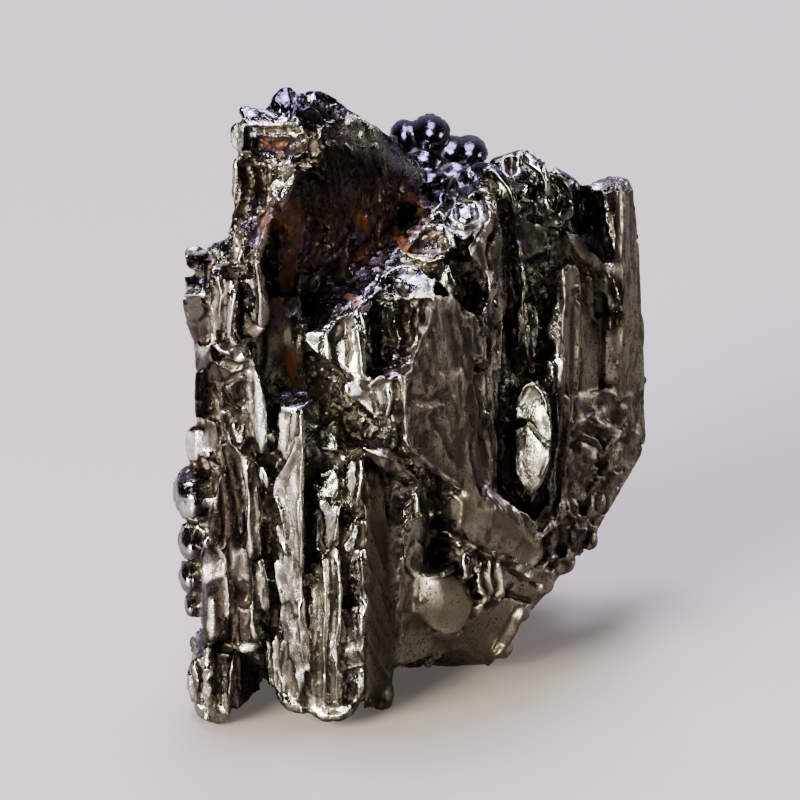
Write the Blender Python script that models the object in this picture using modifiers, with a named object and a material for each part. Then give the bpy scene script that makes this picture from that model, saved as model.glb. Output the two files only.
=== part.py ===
"""Iron meteorite: one solid nickel-iron fragment, etched along its crystal plates.

The front is a left pillar, three upright flutes beside it, a leaning ridge over
them, thin plates that step back to the right, and a peak behind the pillar.
Every form is a small closed shape. They are fused into one skin, thinned to flat
facets and cut level where the fragment stands.
"""
import math
import random
from collections import namedtuple

import bmesh
import bpy
from mathutils import Vector

# ---------------------------------------------------------------- driving sizes
MM = 0.001                  # one millimetre in metres
DEPTH = 30.0                # front foot to rearmost flute, mm
LEAN = math.radians(20.0)   # the front elevation leans back by this much

# The front forms are drawn on one sheet, the leaning front elevation. A corner is
# (x, y, back): x to the right and y down in sheet units, back in millimetres
# behind the frontmost foot.
SHEET_UNITS_PER_MM = 14.6
SHEET_MIDDLE = 411.0        # x of the middle of the fragment
SHEET_GROUND = 732.0        # y of the ground under the frontmost foot

# ---------------------------------------------------------------- fusing
SKIN_STEP = 0.25            # cell size of the fused skin, mm
SKIN_SMOOTHING = 2          # passes that round the fused edges
FACETS = 9400               # triangles left in the finished solid
PLATE_TAPER = 0.85          # a plate's rear outline, as a share of its front one
SEED = 7

METAL_COLOUR = (0.40, 0.38, 0.35, 1.0)
METAL_ROUGHNESS = 0.32

# A plate is a flat-faced crystal: its front corners and its depth in mm. It runs
# back square to the sheet, or level where it stands on the ground.
# A ridge is a thin rounded rib: its radius in mm and the points along it.
# A lump is a rounded knob: its centre, and its radii across and up in sheet units
# and front to back in mm.
Plate = namedtuple("Plate", "depth corners level", defaults=(False,))
Ridge = namedtuple("Ridge", "radius points")
Lump = namedtuple("Lump", "centre radii")
# A flute is a rough upright column, in mm: its place across and back, its half
# width, and the heights of its foot and top.
Flute = namedtuple("Flute", "across back width foot top")

# ---------------------------------------------------------------- front forms
CAP = {
    "cap_knob": Plate(6, [(186, 257, 3.4), (190, 249, 4.2), (200, 247, 4.4), (208, 251, 4),
        (215, 259, 2.6), (216, 268, 1.8), (208, 274, 2.2), (190, 272, 3.2)]),
    "cap_step": Plate(6, [(186, 277, 3.6), (208, 275, 2.6), (211, 296, 1.2), (188, 298, 2.6)]),
    "cap_lip": Ridge(0.3, [(189, 297, 2.8), (198, 296, 2), (209, 298, 1.5)]),
    "cap_block": Plate(6, [(184, 300, 3.2), (206, 299, 1.7), (209, 316, 1.9), (203, 323, 2.3),
        (190, 322, 3.1)]),
    "under_cap": Plate(6, [(188, 322, 3.6), (214, 318, 2.2), (214, 345, 2.6), (195, 342, 3.8)]),
    "jaw_block": Plate(6, [(195, 344, 3.6), (212, 345, 1.9), (216, 358, 2), (210, 372, 2.4),
        (198, 370, 3.8)]),
}
HOOD = {
    "hood": Plate(7, [(213, 253, 2.6), (228, 246, 2), (244, 229, 2.8), (262, 216, 4.2),
        (275, 207, 5.4), (272, 235, 3), (268, 262, 2), (246, 268, 1.2), (222, 271, 1.8)]),
    "hood_crease": Ridge(0.35, [(250, 231, 2.7), (246, 248, 1.5), (243, 264, 1)]),
    "hood_edge": Ridge(0.4, [(270, 230, 3.2), (268, 246, 2.2), (261, 262, 1.6), (262, 280, 1.3),
        (266, 300, 1.2), (266, 322, 1.4)]),
    "pillar_flutes": Plate(7, [(214, 272, 2.8), (264, 268, 2.6), (266, 330, 2.2), (258, 345, 2),
        (218, 345, 2.6), (212, 310, 2.8)]),
    "flute_1": Ridge(0.25, [(217, 276, 2.4), (213, 300, 2.2), (216, 325, 2.2), (217, 345, 2.1)]),
    "flute_2": Ridge(0.35, [(222, 278, 2.1), (227, 295, 1.8), (224, 312, 1.9), (226, 330, 2)]),
    "flute_3": Ridge(0.5, [(235, 285, 1.8), (236, 305, 1.3), (234, 325, 1.5), (237, 343, 1.6)]),
    "cell_rim": Ridge(0.25, [(243, 282, 2), (251, 283, 1.7), (257, 292, 1.6), (258, 310, 1.6)]),
    "cell_ledge": Plate(3, [(248, 314, 1.6), (262, 312, 1.1), (265, 322, 1.3), (254, 326, 1.6)]),
    "chin_lip": Ridge(0.35, [(221, 346, 1.8), (227, 352, 1.2), (233, 355, 1), (240, 348, 1.2),
        (249, 341, 1.7)]),
    "chin": Plate(6, [(233, 357, 1), (250, 343, 1.6), (253, 360, 0.9), (244, 365, 0.9),
        (222, 360, 1.4)]),
}
WAIST = {
    "waist_left": Plate(6, [(198, 372, 4), (218, 365, 2.2), (222, 390, 2.2), (216, 420, 2.8),
        (195, 418, 4.2), (197, 395, 4.2)]),
    "waist_boulder": Plate(6, [(218, 362, 1.9), (236, 372, 1.5), (246, 362, 1.2), (250, 378, 1.4),
        (244, 384, 1.6), (226, 384, 2.2)]),
    "striped_blade": Plate(6, [(250, 345, 1.2), (258, 365, 1), (266, 385, 1.1), (270, 410, 0.9),
        (272, 440, 0.9), (264, 458, 0.9), (256, 440, 1.4), (250, 410, 2), (246, 375, 1.8)]),
    "waist_panel": Plate(6, [(224, 386, 2.4), (248, 380, 2), (254, 440, 1.8), (246, 455, 1.6),
        (226, 430, 2.2), (218, 410, 2.6)]),
    "waist_drop": Plate(4, [(258, 463, 1.4), (266, 465, 1), (271, 480, 0.8), (270, 490, 0.9),
        (262, 484, 1.2), (259, 472, 1.4)]),
    "waist_seam": Ridge(0.3, [(232, 438, 2), (243, 452, 1.6), (247, 470, 1.4), (249, 490, 1.3),
        (252, 520, 1.2), (251, 545, 1.2), (254, 560, 1.3)]),
    "waist_pane": Plate(5, [(220, 436, 2.8), (245, 455, 1.8), (248, 490, 1.8), (240, 500, 2.2),
        (226, 470, 2.8)]),
    "waist_back": Plate(6, [(205, 420, 3.2), (225, 420, 2.6), (260, 460, 2.4), (262, 500, 2.4),
        (215, 500, 3.4)]),
}
BULGES = {
    "bulge_top": Plate(4, [(189, 430, 4.4), (196, 425, 4.2), (207, 428, 3.4), (208, 438, 3.2),
        (200, 462, 3.4), (190, 462, 4.4), (187, 445, 4.8)]),
    "bulge_crumb": Lump((212, 452, 3.8), (9, 9, 1)),
    "big_bulge": Lump((198, 491, 4.6), (24, 28, 2.8)),
    "bulge_window": Plate(3, [(183, 499, 3.5), (197, 500, 2.2), (198, 517, 2.2), (184, 518, 3.4)]),
    "bulge_2": Lump((195, 539, 4.4), (16, 20, 2.4)),
    "bulge_3": Lump((192, 573, 4.8), (13, 18, 2.2)),
    "bulge_4": Lump((193, 602, 5), (8, 12, 1.8)),
}
TRUNK = {
    "trunk": Plate(8, [(222, 470, 2.8), (250, 480, 2.2), (258, 500, 2), (266, 500, 2.1),
        (267, 620, 1.8), (256, 648, 1.6), (228, 640, 2), (204, 640, 2.6), (200, 612, 3),
        (200, 560, 3.2), (208, 520, 3.2)], level=True),
    "boss_1": Plate(4, [(204, 560, 2.8), (222, 553, 1.9), (228, 560, 1.6), (228, 582, 1.4),
        (214, 588, 1.6), (202, 580, 2.6)]),
    "boss_2": Plate(4, [(202, 592, 2.8), (216, 590, 1.9), (218, 610, 1.7), (208, 618, 2.2),
        (200, 606, 3)]),
    "trunk_rib_1": Ridge(0.25, [(214, 604, 1.8), (215, 625, 1.8), (214, 640, 1.9)]),
    "trunk_rib_2": Ridge(0.3, [(224, 545, 1.9), (228, 565, 1.6), (231, 590, 1.5), (231, 612, 1.6)]),
    "trunk_rib_3": Ridge(0.3, [(253, 560, 1.5), (257, 585, 1.5), (254, 605, 1.5), (254, 630, 1.4),
        (260, 642, 1.5)]),
    "trunk_rib_4": Ridge(0.45, [(262, 560, 1.8), (266, 585, 1.6), (266, 605, 1.6)]),
    "trunk_block": Plate(5, [(240, 604, 1.7), (252, 606, 1.3), (258, 640, 1.1), (258, 650, 1.3),
        (240, 652, 1.5)]),
    "trunk_wedge": Plate(4, [(236, 548, 2), (250, 545, 1.6), (255, 560, 1.4), (252, 582, 1.5),
        (240, 580, 1.8)]),
}
LEFT_FOOT = {
    "left_foot": Plate(7, [(188, 668, 3.6), (196, 656, 2.4), (212, 650, 1.6), (236, 650, 1.2),
        (238, 680, 1), (232, 712, 1.6), (222, 724, 2), (206, 718, 2.4), (192, 703, 3),
        (186, 685, 3.6)], level=True),
    "foot_rib_1": Ridge(0.4, [(196, 662, 2.4), (199, 680, 2), (199, 700, 2.2)]),
    "foot_rib_2": Ridge(0.5, [(211, 645, 1.6), (211, 665, 1.2), (209, 690, 1.2), (212, 708, 1.6)]),
    "foot_rib_3": Ridge(0.3, [(236, 648, 1.2), (232, 670, 0.8), (231, 695, 0.8), (229, 710, 1.2)]),
    "left_heel": Plate(5, [(236, 655, 1.6), (262, 648, 6), (268, 668, 6.5), (262, 690, 6.5),
        (246, 700, 4.6), (234, 712, 2.2)], level=True),
}
CLEFT = {
    "cleft_wall": Plate(7, [(262, 296, 7), (304, 294, 8.5), (310, 395, 6.5), (276, 395, 5),
        (258, 380, 4.5)]),
    "cleft_floor": Plate(6, [(255, 400, 4), (285, 400, 4), (285, 690, 3.2),
        (262, 680, 3.8)], level=True),
}
CENTRAL_FLUTE = {
    "central_cap": Plate(8, [(284, 391, 4.6), (310, 390, 4.6), (313, 399, 3), (304, 410, 1),
        (280, 410, 1.6), (276, 403, 3)]),
    "central_upper": Plate(7, [(280, 411, 1.6), (303, 411, 0.5), (305, 440, 0.3), (305, 470, 0.2),
        (290, 468, 0.7), (277, 450, 1.7)]),
    "central_mid": Plate(7, [(276, 480, 1.7), (288, 466, 0.8), (305, 455, 0.2), (306, 520, 0),
        (304, 600, 0.1), (280, 600, 1.4), (276, 540, 1.8)]),
    "central_low": Plate(7, [(279, 600, 1.6), (302, 600, 0.3), (306, 640, 0.4), (305, 690, 0.6),
        (298, 712, 1), (288, 706, 1.4), (280, 698, 1.8), (275, 670, 2.2)], level=True),
    "central_edge": Ridge(0.3, [(304, 412, 0.5), (304, 460, 0.2), (302, 500, 0), (303, 560, 0.1)]),
    "central_twin": Ridge(0.25, [(303, 600, 0.3), (305, 620, 0.2), (309, 650, 0.4),
        (311, 668, 0.6)]),
    "central_left": Ridge(0.3, [(280, 500, 1.5), (287, 530, 1.1), (291, 548, 0.9),
        (285, 565, 1.3)]),
    "central_side": Plate(5, [(263, 640, 3), (276, 632, 1.9), (278, 690, 1.8), (268, 684, 2.6),
        (262, 668, 3.2)], level=True),
    "flute_valley": Plate(6, [(300, 398, 4.6), (322, 400, 5.2), (322, 700, 2.2),
        (300, 700, 2.2)], level=True),
}
RIGHT_FLUTE = {
    "right_top": Plate(6, [(320, 424, 3.2), (338, 417, 3.8), (341, 430, 3.2), (340, 452, 2.4),
        (320, 450, 2.4)]),
    "right_knob": Plate(5, [(318, 472, 2.2), (336, 466, 1.8), (341, 478, 1.4), (340, 498, 1.2),
        (326, 500, 1.4)]),
    "right_mid": Plate(7, [(312, 478, 2.2), (320, 500, 1.2), (340, 505, 1), (341, 560, 0.6),
        (316, 560, 1.2), (311, 520, 1.8)]),
    "right_low": Plate(8, [(308, 560, 1.4), (320, 550, 0.8), (344, 575, 0.4), (345, 640, 0.3),
        (344, 705, 0.6), (338, 724, 1.2), (322, 716, 1.2), (310, 708, 1.2),
        (308, 640, 0.8)], level=True),
    "twin_a": Ridge(0.35, [(325, 552, 0.8), (326, 580, 0.4), (328, 620, 0.1), (326, 660, 0.2),
        (327, 700, 0.5)]),
    "twin_b": Ridge(0.3, [(338, 556, 0.8), (341, 590, 0.4), (340, 635, 0.2), (333, 650, 0.2),
        (337, 668, 0.2), (338, 700, 0.6)]),
    "small_square": Plate(3, [(304, 572, 0.8), (316, 570, 0.4), (318, 580, 0.4), (308, 585, 0.8)]),
}
CORNER_FLUTE = {
    "corner_upper": Plate(7, [(344, 460, 2.6), (364, 455, 1.6), (366, 480, 1.2), (362, 505, 1),
        (345, 508, 1.8), (343, 480, 2.4)]),
    "corner_edge": Ridge(0.35, [(361, 460, 1.5), (360, 480, 1.1), (356, 503, 1)]),
    "corner_wedge": Plate(6, [(342, 520, 2), (358, 514, 1.2), (360, 530, 0.8), (354, 550, 0.6),
        (345, 548, 1.2)]),
    "corner_mid": Plate(7, [(343, 555, 1.6), (362, 545, 0.8), (366, 590, 0.4), (362, 600, 0.6),
        (344, 595, 1.4)]),
    "corner_facet": Plate(7, [(344, 608, 2.2), (366, 598, 0.4), (367, 625, 0), (362, 636, 0),
        (345, 640, 0.7)], level=True),
    "corner_low": Plate(8, [(345, 640, 0.9), (366, 636, 0), (367, 665, 0),
        (344, 668, 0.9)], level=True),
    "corner_toe": Plate(8, [(342, 675, 1.4), (366, 668, 0.2), (366, 690, 0.3), (358, 702, 0.8),
        (345, 700, 1.4)], level=True),
    "corner_side": Plate(8, [(366, 500, 1.2), (384, 500, 4.2), (390, 560, 5), (393, 620, 5),
        (397, 660, 5.2), (392, 686, 6), (378, 704, 4), (362, 702, 1), (367, 600, 0.2)], level=True),
    "corner_shoulder": Plate(7, [(362, 462, 1.6), (380, 470, 4), (386, 505, 4.4), (366, 520, 1.4)]),
    "small_foot": Lump((376, 704, 5.5), (12, 10, 2)),
}
RECESS_STRIP = {
    "recess_strip": Plate(6, [(394, 492, 7), (414, 494, 6.5), (418, 540, 6), (421, 560, 6.5),
        (413, 600, 6.5), (405, 612, 7), (397, 605, 7), (392, 560, 7)]),
    "strip_edge": Ridge(0.3, [(415, 496, 6.2), (417, 520, 5.8), (415, 538, 5.8), (421, 545, 5.8),
        (424, 560, 6.2)]),
}
LENS_LEDGE = {
    "lens_top": Plate(4, [(360, 444, 2.6), (368, 436, 3.4), (380, 437, 3.2), (390, 444, 2.2),
        (386, 449, 1.8), (366, 449, 1.8)]),
    "lens_body": Plate(5, [(364, 449, 1.8), (388, 447, 1.8), (404, 462, 2.6), (424, 482, 4),
        (404, 474, 3), (382, 462, 2.2)]),
}
FRONT_RIDGE = {
    "beak_top": Plate(5, [(306, 324, 6), (316, 304, 8.5), (338, 300, 8), (341, 321, 3),
        (331, 335, 2.2), (305, 338, 2.8)]),
    "beak_face": Plate(6, [(305, 340, 2.8), (331, 336, 2), (334, 366, 1.2), (322, 358, 1.7),
        (310, 350, 2.6)]),
    "beak_back": Plate(7, [(312, 330, 4.5), (350, 320, 4.5), (350, 375, 3.6), (330, 366, 3)]),
    "ridge_front": Plate(7, [(341, 322, 3.2), (358, 308, 3.4), (362, 318, 2.4), (365, 345, 1.6),
        (366, 380, 0.8), (352, 378, 1.2), (340, 368, 1.6), (336, 350, 2.2)]),
    "front_edge": Ridge(0.4, [(359, 312, 2.6), (363, 340, 1.5), (364, 372, 0.7)]),
    "ridge_scoop": Plate(8, [(366, 310, 4.4), (390, 300, 5.2), (420, 302, 4.2), (424, 330, 3.6),
        (412, 366, 2.8), (372, 372, 3)]),
    "ridge_crest": Plate(7, [(366, 303, 4.6), (380, 283, 5.4), (398, 270, 6.6), (420, 270, 6),
        (436, 282, 4.8), (432, 300, 3.6), (400, 300, 4.2), (372, 304, 4)]),
    "crest_edge": Ridge(0.4, [(342, 320, 3), (358, 308, 3.4), (372, 298, 4.2), (384, 280, 5.2),
        (398, 271, 6.3), (416, 270, 6)]),
    "scoop_rim": Ridge(0.4, [(428, 312, 2.8), (430, 322, 2.2), (424, 334, 1.6), (416, 350, 1.2),
        (412, 372, 0.7), (404, 378, 0.5), (392, 376, 0.5), (372, 382, 0.8)]),
    "hem": Plate(6, [(368, 380, 0.9), (404, 376, 0.3), (414, 374, 0.5), (408, 392, 0.3),
        (406, 402, 0.6), (388, 420, 1), (372, 414, 1.2), (352, 394, 1.6), (346, 382, 1.6)]),
    "hem_block_1": Plate(4, [(345, 382, 1.4), (358, 380, 0.9), (366, 392, 0.7), (362, 400, 0.9),
        (350, 394, 1.4)]),
    "hem_block_2": Plate(4, [(382, 386, 0.6), (392, 384, 0.2), (394, 402, 0.1), (388, 420, 0.4),
        (382, 404, 0.7)]),
    "hem_rib": Ridge(0.45, [(405, 378, 0.3), (405, 400, 0.2), (406, 425, 0.5), (409, 445, 0.8),
        (417, 462, 1.8)]),
    "ridge_flank": Plate(9, [(434, 296, 3.6), (428, 330, 2.2), (412, 376, 0.6), (406, 400, 0.5),
        (408, 440, 0.9), (420, 462, 1.9), (442, 480, 3.2), (462, 490, 4.4), (492, 500, 6.2),
        (496, 420, 8.2), (492, 340, 8.8), (470, 310, 6.8), (450, 296, 5)]),
}
UPPER_RIDGE = {
    "upper_lip": Plate(5, [(406, 254, 8.6), (418, 240, 9.2), (440, 224, 9.8), (452, 236, 8.6),
        (450, 256, 7.8), (430, 262, 7.8)]),
    "lip_edge": Ridge(0.4, [(406, 252, 8.6), (420, 240, 9), (436, 226, 9.4), (440, 222, 9.6)]),
    "lip_edge_2": Ridge(0.35, [(437, 233, 8.8), (447, 237, 8.2), (451, 248, 7.8)]),
    "lip_ledge": Plate(4, [(404, 256, 8.2), (420, 253, 7.6), (446, 256, 7.2), (440, 264, 7.4),
        (424, 264, 7.6)]),
    "lavender_hump": Plate(6, [(440, 222, 10.4), (456, 204, 11.6), (478, 202, 11.6), (484, 222, 10),
        (478, 236, 9), (458, 240, 8.8), (444, 236, 9)]),
    "crest_knob": Plate(6, [(482, 195, 11.6), (496, 192, 12.4), (500, 205, 11.2), (496, 218, 9.8),
        (485, 216, 9.8)]),
    "knob_face": Plate(7, [(484, 222, 9.6), (500, 214, 10.6), (504, 240, 10.4), (500, 275, 9.6),
        (492, 282, 8.6), (470, 258, 8), (466, 250, 8.2), (476, 238, 8.6)]),
    "alcove_floor": Plate(6, [(448, 258, 9.6), (492, 268, 10.6), (492, 330, 9.6), (456, 330, 8.4)]),
    "alcove_rim": Ridge(0.35, [(488, 274, 8.6), (490, 290, 8.3), (487, 304, 8.2), (480, 316, 8),
        (484, 330, 8)]),
    "rim_wall": Plate(7, [(490, 275, 8.8), (503, 262, 10.2), (504, 330, 10), (497, 420, 8.8),
        (484, 420, 8), (482, 330, 8.2)]),
    "alcove_lip": Plate(5, [(441, 264, 6.8), (449, 266, 6.2), (456, 288, 5.6), (452, 300, 5.2),
        (438, 286, 5.6)]),
}
TOP_LUMPS = {
    "ear_ridge": Plate(6, [(476, 172, 14.5), (484, 168, 14.2), (497, 178, 13.2), (508, 190, 12.6),
        (518, 206, 12.2), (514, 222, 12.2), (500, 214, 12.6), (488, 190, 13.6)]),
    "ear_curl": Ridge(0.5, [(478, 170, 14.4), (488, 171, 13.6), (499, 180, 12.8), (508, 193, 12.2),
        (514, 210, 12)]),
    "brow": Plate(7, [(484, 168, 16), (492, 159, 17), (508, 158, 17), (516, 151, 17.6),
        (526, 150, 17.6), (534, 155, 17), (545, 162, 17), (550, 172, 16.5), (540, 190, 15),
        (520, 185, 14.5), (500, 180, 14.5)]),
    "brow_curl": Ridge(0.45, [(526, 160, 14.8), (540, 170, 14.2), (545, 186, 14), (555, 198, 14.2),
        (550, 210, 13.8)]),
    "cheek": Plate(6, [(532, 200, 13.6), (546, 199, 13.2), (551, 212, 13.2), (546, 220, 13.6),
        (533, 218, 13.8)]),
    "ear_rim": Ridge(0.5, [(552, 178, 15.6), (563, 190, 15.4), (566, 205, 15), (560, 216, 14.6)]),
    "ear_back": Plate(8, [(548, 172, 17), (560, 176, 17), (572, 190, 17), (574, 215, 16.5),
        (560, 230, 15.5), (545, 225, 14.5), (520, 225, 13.6), (518, 200, 14)]),
    "rear_bump": Plate(6, [(548, 170, 20), (556, 166, 21), (568, 172, 21), (580, 181, 20.5),
        (582, 192, 20), (560, 190, 18)]),
    "pendant_1": Lump((592, 228, 20.4), (5, 9, 0.9)),
    "pendant_2": Lump((583, 208, 20.2), (7, 7, 0.9)),
    "mid_face": Plate(7, [(512, 226, 13.4), (540, 222, 14.2), (549, 236, 14.2), (544, 250, 13.8),
        (530, 262, 13), (516, 260, 12.6)]),
    "first_rib": Plate(6, [(504, 222, 12.4), (516, 225, 12.8), (522, 262, 12.4), (524, 300, 11.8),
        (522, 330, 11.4), (518, 350, 11.2), (510, 300, 11.6), (503, 262, 11.8)]),
    "thin_lip": Ridge(0.35, [(515, 250, 12.2), (520, 270, 11.8), (524, 290, 11.6),
        (520, 300, 11.6)]),
    "second_rib": Plate(5, [(520, 306, 12.4), (530, 300, 13), (539, 312, 13.2), (538, 345, 12.6),
        (536, 375, 12), (528, 376, 11.8), (521, 345, 12)]),
    "nub_1": Plate(4, [(543, 322, 14), (552, 304, 14.2), (558, 320, 13.8), (556, 338, 13.4),
        (546, 340, 13.6)]),
    "nub_2": Plate(4, [(541, 378, 13.2), (546, 358, 13.4), (554, 366, 13.2), (555, 378, 13),
        (548, 384, 13)]),
    "slab_2_face": Plate(5, [(554, 272, 14), (563, 268, 13.6), (564, 300, 13), (560, 330, 12.8),
        (560, 345, 12.8), (556, 300, 13.4)]),
    "slab_2": Plate(9, [(556, 271, 14), (566, 263, 14.4), (574, 266, 15.2), (578, 285, 15.8),
        (578, 345, 15.4), (574, 400, 14.6), (566, 450, 13.4), (560, 480, 12.6), (552, 500, 11.8),
        (546, 470, 11.6), (550, 420, 12), (558, 360, 12.8), (562, 310, 13.2)]),
    "slab_seam": Ridge(0.3, [(574, 290, 15.2), (573, 380, 14.6), (567, 430, 13.6), (563, 470, 12.6),
        (565, 500, 12.2), (560, 520, 11.4), (545, 532, 9.8), (535, 540, 8.6)]),
    "slab_seam_2": Ridge(0.3, [(562, 360, 12.8), (560, 400, 12.4), (557, 440, 11.8),
        (552, 470, 11.4), (548, 500, 11.2)]),
    "leaf_upper": Plate(5, [(516, 405, 10.6), (524, 392, 10.6), (530, 384, 10.6), (540, 392, 10.6),
        (546, 406, 10.4), (549, 420, 10), (540, 421, 9.6), (514, 419, 10)]),
    "leaf_lower": Plate(5, [(515, 430, 10.4), (524, 424, 10.2), (536, 432, 10), (549, 424, 10.2),
        (550, 442, 9.8), (546, 460, 9.4), (538, 480, 9), (529, 497, 8.8), (520, 480, 9.4),
        (516, 455, 10)]),
    "groove_floor": Plate(9, [(500, 262, 15), (556, 262, 18), (560, 400, 15), (548, 505, 12.6),
        (500, 505, 11.6), (496, 330, 12)]),
    "wire": Ridge(0.25, [(484, 405, 8), (483, 425, 7.8), (484, 440, 7.8)]),
}
RIGHT_SIDE = {
    "shoulder": Plate(10, [(552, 222, 17.6), (584, 238, 18), (602, 262, 19), (604, 300, 19),
        (600, 400, 18), (578, 400, 16), (576, 330, 16.8), (560, 262, 17)]),
    "shoulder_lobe_1": Plate(4, [(566, 240, 16.8), (584, 244, 17.2), (600, 262, 18.2),
        (600, 276, 18.2), (586, 270, 17.4), (570, 258, 16.6)]),
    "shoulder_lobe_2": Plate(4, [(580, 276, 17.2), (592, 276, 17.6), (596, 300, 17.8),
        (588, 310, 17.2), (580, 300, 17)]),
    "pit_wall": Plate(6, [(572, 188, 21.5), (602, 188, 22), (614, 240, 21.5), (610, 285, 20.5),
        (580, 245, 20)]),
    "slab_cap": Plate(5, [(586, 185, 20.6), (600, 177, 22), (618, 174, 22.8), (630, 178, 23),
        (634, 188, 22.8), (615, 188, 20.2), (592, 195, 20)]),
    "slab_front": Plate(5, [(601, 196, 19.8), (618, 190, 18.8), (621, 215, 18.6), (619, 245, 18.4),
        (612, 246, 18.8), (606, 215, 19.4)]),
    "tall_slab": Plate(8, [(620, 188, 19), (634, 186, 22.5), (637, 215, 22.8), (640, 240, 22.8),
        (640, 300, 22.6), (645, 330, 22.4), (645, 350, 22.2), (643, 375, 22), (648, 400, 22),
        (630, 400, 19.6), (620, 380, 18.8), (621, 300, 18.6), (618, 245, 18.6)]),
    "slab_nub_1": Plate(4, [(608, 276, 19), (614, 278, 18.4), (621, 300, 18.2), (618, 306, 18.4),
        (610, 294, 18.8)]),
    "slab_nub_2": Plate(4, [(607, 316, 18.8), (618, 312, 18.2), (620, 326, 18.2), (612, 332, 18.4),
        (608, 328, 18.8)]),
    "slab_nub_3": Plate(4, [(605, 340, 18.8), (616, 342, 18.4), (616, 356, 18.4),
        (606, 356, 18.8)]),
    "right_flank": Plate(9, [(574, 396, 15.6), (600, 392, 18), (622, 385, 18.8), (645, 380, 22),
        (648, 420, 22.4), (650, 440, 22.6), (645, 456, 22.2), (636, 466, 21.4), (622, 478, 20),
        (622, 490, 19.8), (618, 500, 19.2), (606, 516, 18.2), (598, 530, 17.2), (588, 550, 15.8),
        (570, 570, 14.2), (556, 582, 13.2), (548, 560, 11.8), (552, 530, 11.8), (560, 500, 12.4),
        (568, 450, 13.8)]),
    "flank_plate_1": Plate(3, [(572, 452, 14.2), (584, 440, 14.6), (600, 446, 15.8), (592, 466, 15),
        (578, 472, 14.2)]),
    "flank_plate_2": Plate(3, [(594, 424, 16.2), (612, 418, 17.2), (622, 432, 18), (608, 446, 17)]),
    "flank_plate_3": Plate(3, [(618, 404, 18.6), (634, 400, 20), (638, 424, 20.6),
        (624, 428, 19.2)]),
    "flank_knob_1": Lump((632, 446, 20.9), (11, 12, 0.9)),
    "flank_knob_2": Lump((610, 470, 17.9), (12, 9, 0.8)),
    "flank_knob_3": Lump((592, 486, 15.9), (13, 11, 0.8)),
    "flank_knob_4": Lump((574, 508, 13.6), (9, 13, 0.8)),
    "flank_knob_5": Lump((598, 510, 16.6), (9, 12, 0.8)),
    "flank_knob_6": Lump((582, 532, 15.2), (12, 10, 0.8)),
    "flank_knob_7": Lump((562, 552, 13.2), (11, 14, 0.8)),
    "flank_vein_1": Ridge(0.3, [(572, 446, 14.4), (582, 436, 14.8), (596, 442, 15.6),
        (604, 456, 16.6)]),
    "flank_vein_2": Ridge(0.3, [(570, 470, 14), (580, 478, 14.4), (596, 470, 15.6)]),
    "flank_vein_3": Ridge(0.3, [(566, 512, 12.6), (580, 518, 14), (596, 530, 16)]),
    "flank_vein_4": Ridge(0.3, [(604, 402, 17.6), (600, 430, 17), (610, 444, 17.4),
        (606, 470, 17.2)]),
}
LOWER_RIGHT = {
    "tongue": Plate(5, [(455, 500, 5.2), (466, 492, 5), (484, 494, 5.2), (500, 504, 5.6),
        (516, 516, 6.4), (532, 530, 7.2), (540, 545, 7.8), (539, 556, 8.2), (533, 563, 8.4),
        (520, 560, 8), (500, 552, 7), (488, 545, 6.4), (468, 540, 5.8), (458, 522, 5.4)]),
    "tongue_top": Ridge(0.5, [(490, 496, 5.3), (506, 508, 5.9), (522, 522, 6.7), (535, 540, 7.5)]),
    "curl": Ridge(0.35, [(487, 480, 6.4), (488, 492, 5.8), (498, 500, 5.6)]),
    "recess_ledge": Plate(4, [(438, 530, 6.6), (456, 533, 6), (460, 540, 6.2), (442, 538, 6.8)]),
    "recess_roof": Plate(4, [(445, 500, 6), (458, 490, 5.2), (462, 512, 5.2), (456, 520, 5.6),
        (440, 516, 6.4)]),
    "recess_bead": Lump((433, 512, 6.8), (4, 8, 0.7)),
    "recess_floor": Plate(6, [(395, 480, 8.5), (470, 480, 8), (480, 600, 9), (430, 660, 12),
        (395, 660, 11)]),
    "smooth_knob": Plate(6, [(421, 575, 5.2), (436, 578, 4.7), (448, 572, 5.2), (460, 575, 5.6),
        (470, 590, 5.8), (474, 602, 6), (468, 620, 6), (460, 632, 6), (448, 635, 5.8),
        (432, 628, 5.4), (424, 620, 5.2), (411, 610, 5.2), (412, 600, 5.2), (421, 594, 4.9),
        (445, 602, 4.6)]),
    "knob_top": Plate(5, [(424, 562, 8), (452, 560, 8.2), (450, 572, 5.4), (424, 573, 5.4)]),
    "facet_a": Plate(5, [(486, 556, 7.4), (508, 560, 8.4), (512, 572, 8.6), (506, 592, 8.2),
        (494, 602, 7.4), (480, 600, 6.8), (478, 576, 7)]),
    "facet_b": Plate(4, [(462, 548, 7.2), (478, 552, 7.4), (476, 575, 7), (466, 580, 6.6),
        (460, 566, 7)]),
    "belly": Plate(9, [(425, 640, 8.6), (462, 628, 7.6), (474, 604, 6.8), (510, 596, 8.4),
        (526, 606, 10.4), (516, 632, 10.4), (500, 658, 11.6), (488, 667, 12.7), (446, 672, 12.4),
        (425, 668, 12.4)], level=True),
    "belly_right": Plate(9, [(508, 560, 8.6), (540, 566, 10), (560, 578, 12), (545, 592, 12),
        (532, 606, 11.2), (520, 626, 10.8), (506, 600, 8.8)], level=True),
    "belly_left": Plate(7, [(402, 655, 10), (430, 640, 9), (432, 668, 11.6),
        (402, 672, 12)], level=True),
    "grain_0": Lump((404, 652, 9.4), (6, 5, 0.6)),
    "grain_1": Lump((412, 662, 9.4), (6, 5, 0.6)),
    "grain_2": Lump((420, 655, 9.4), (6, 5, 0.6)),
    "grain_3": Lump((428, 663, 9.4), (6, 5, 0.6)),
    "grain_4": Lump((436, 655, 9.4), (6, 5, 0.6)),
    "grain_5": Lump((402, 664, 9.4), (6, 5, 0.6)),
}
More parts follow.
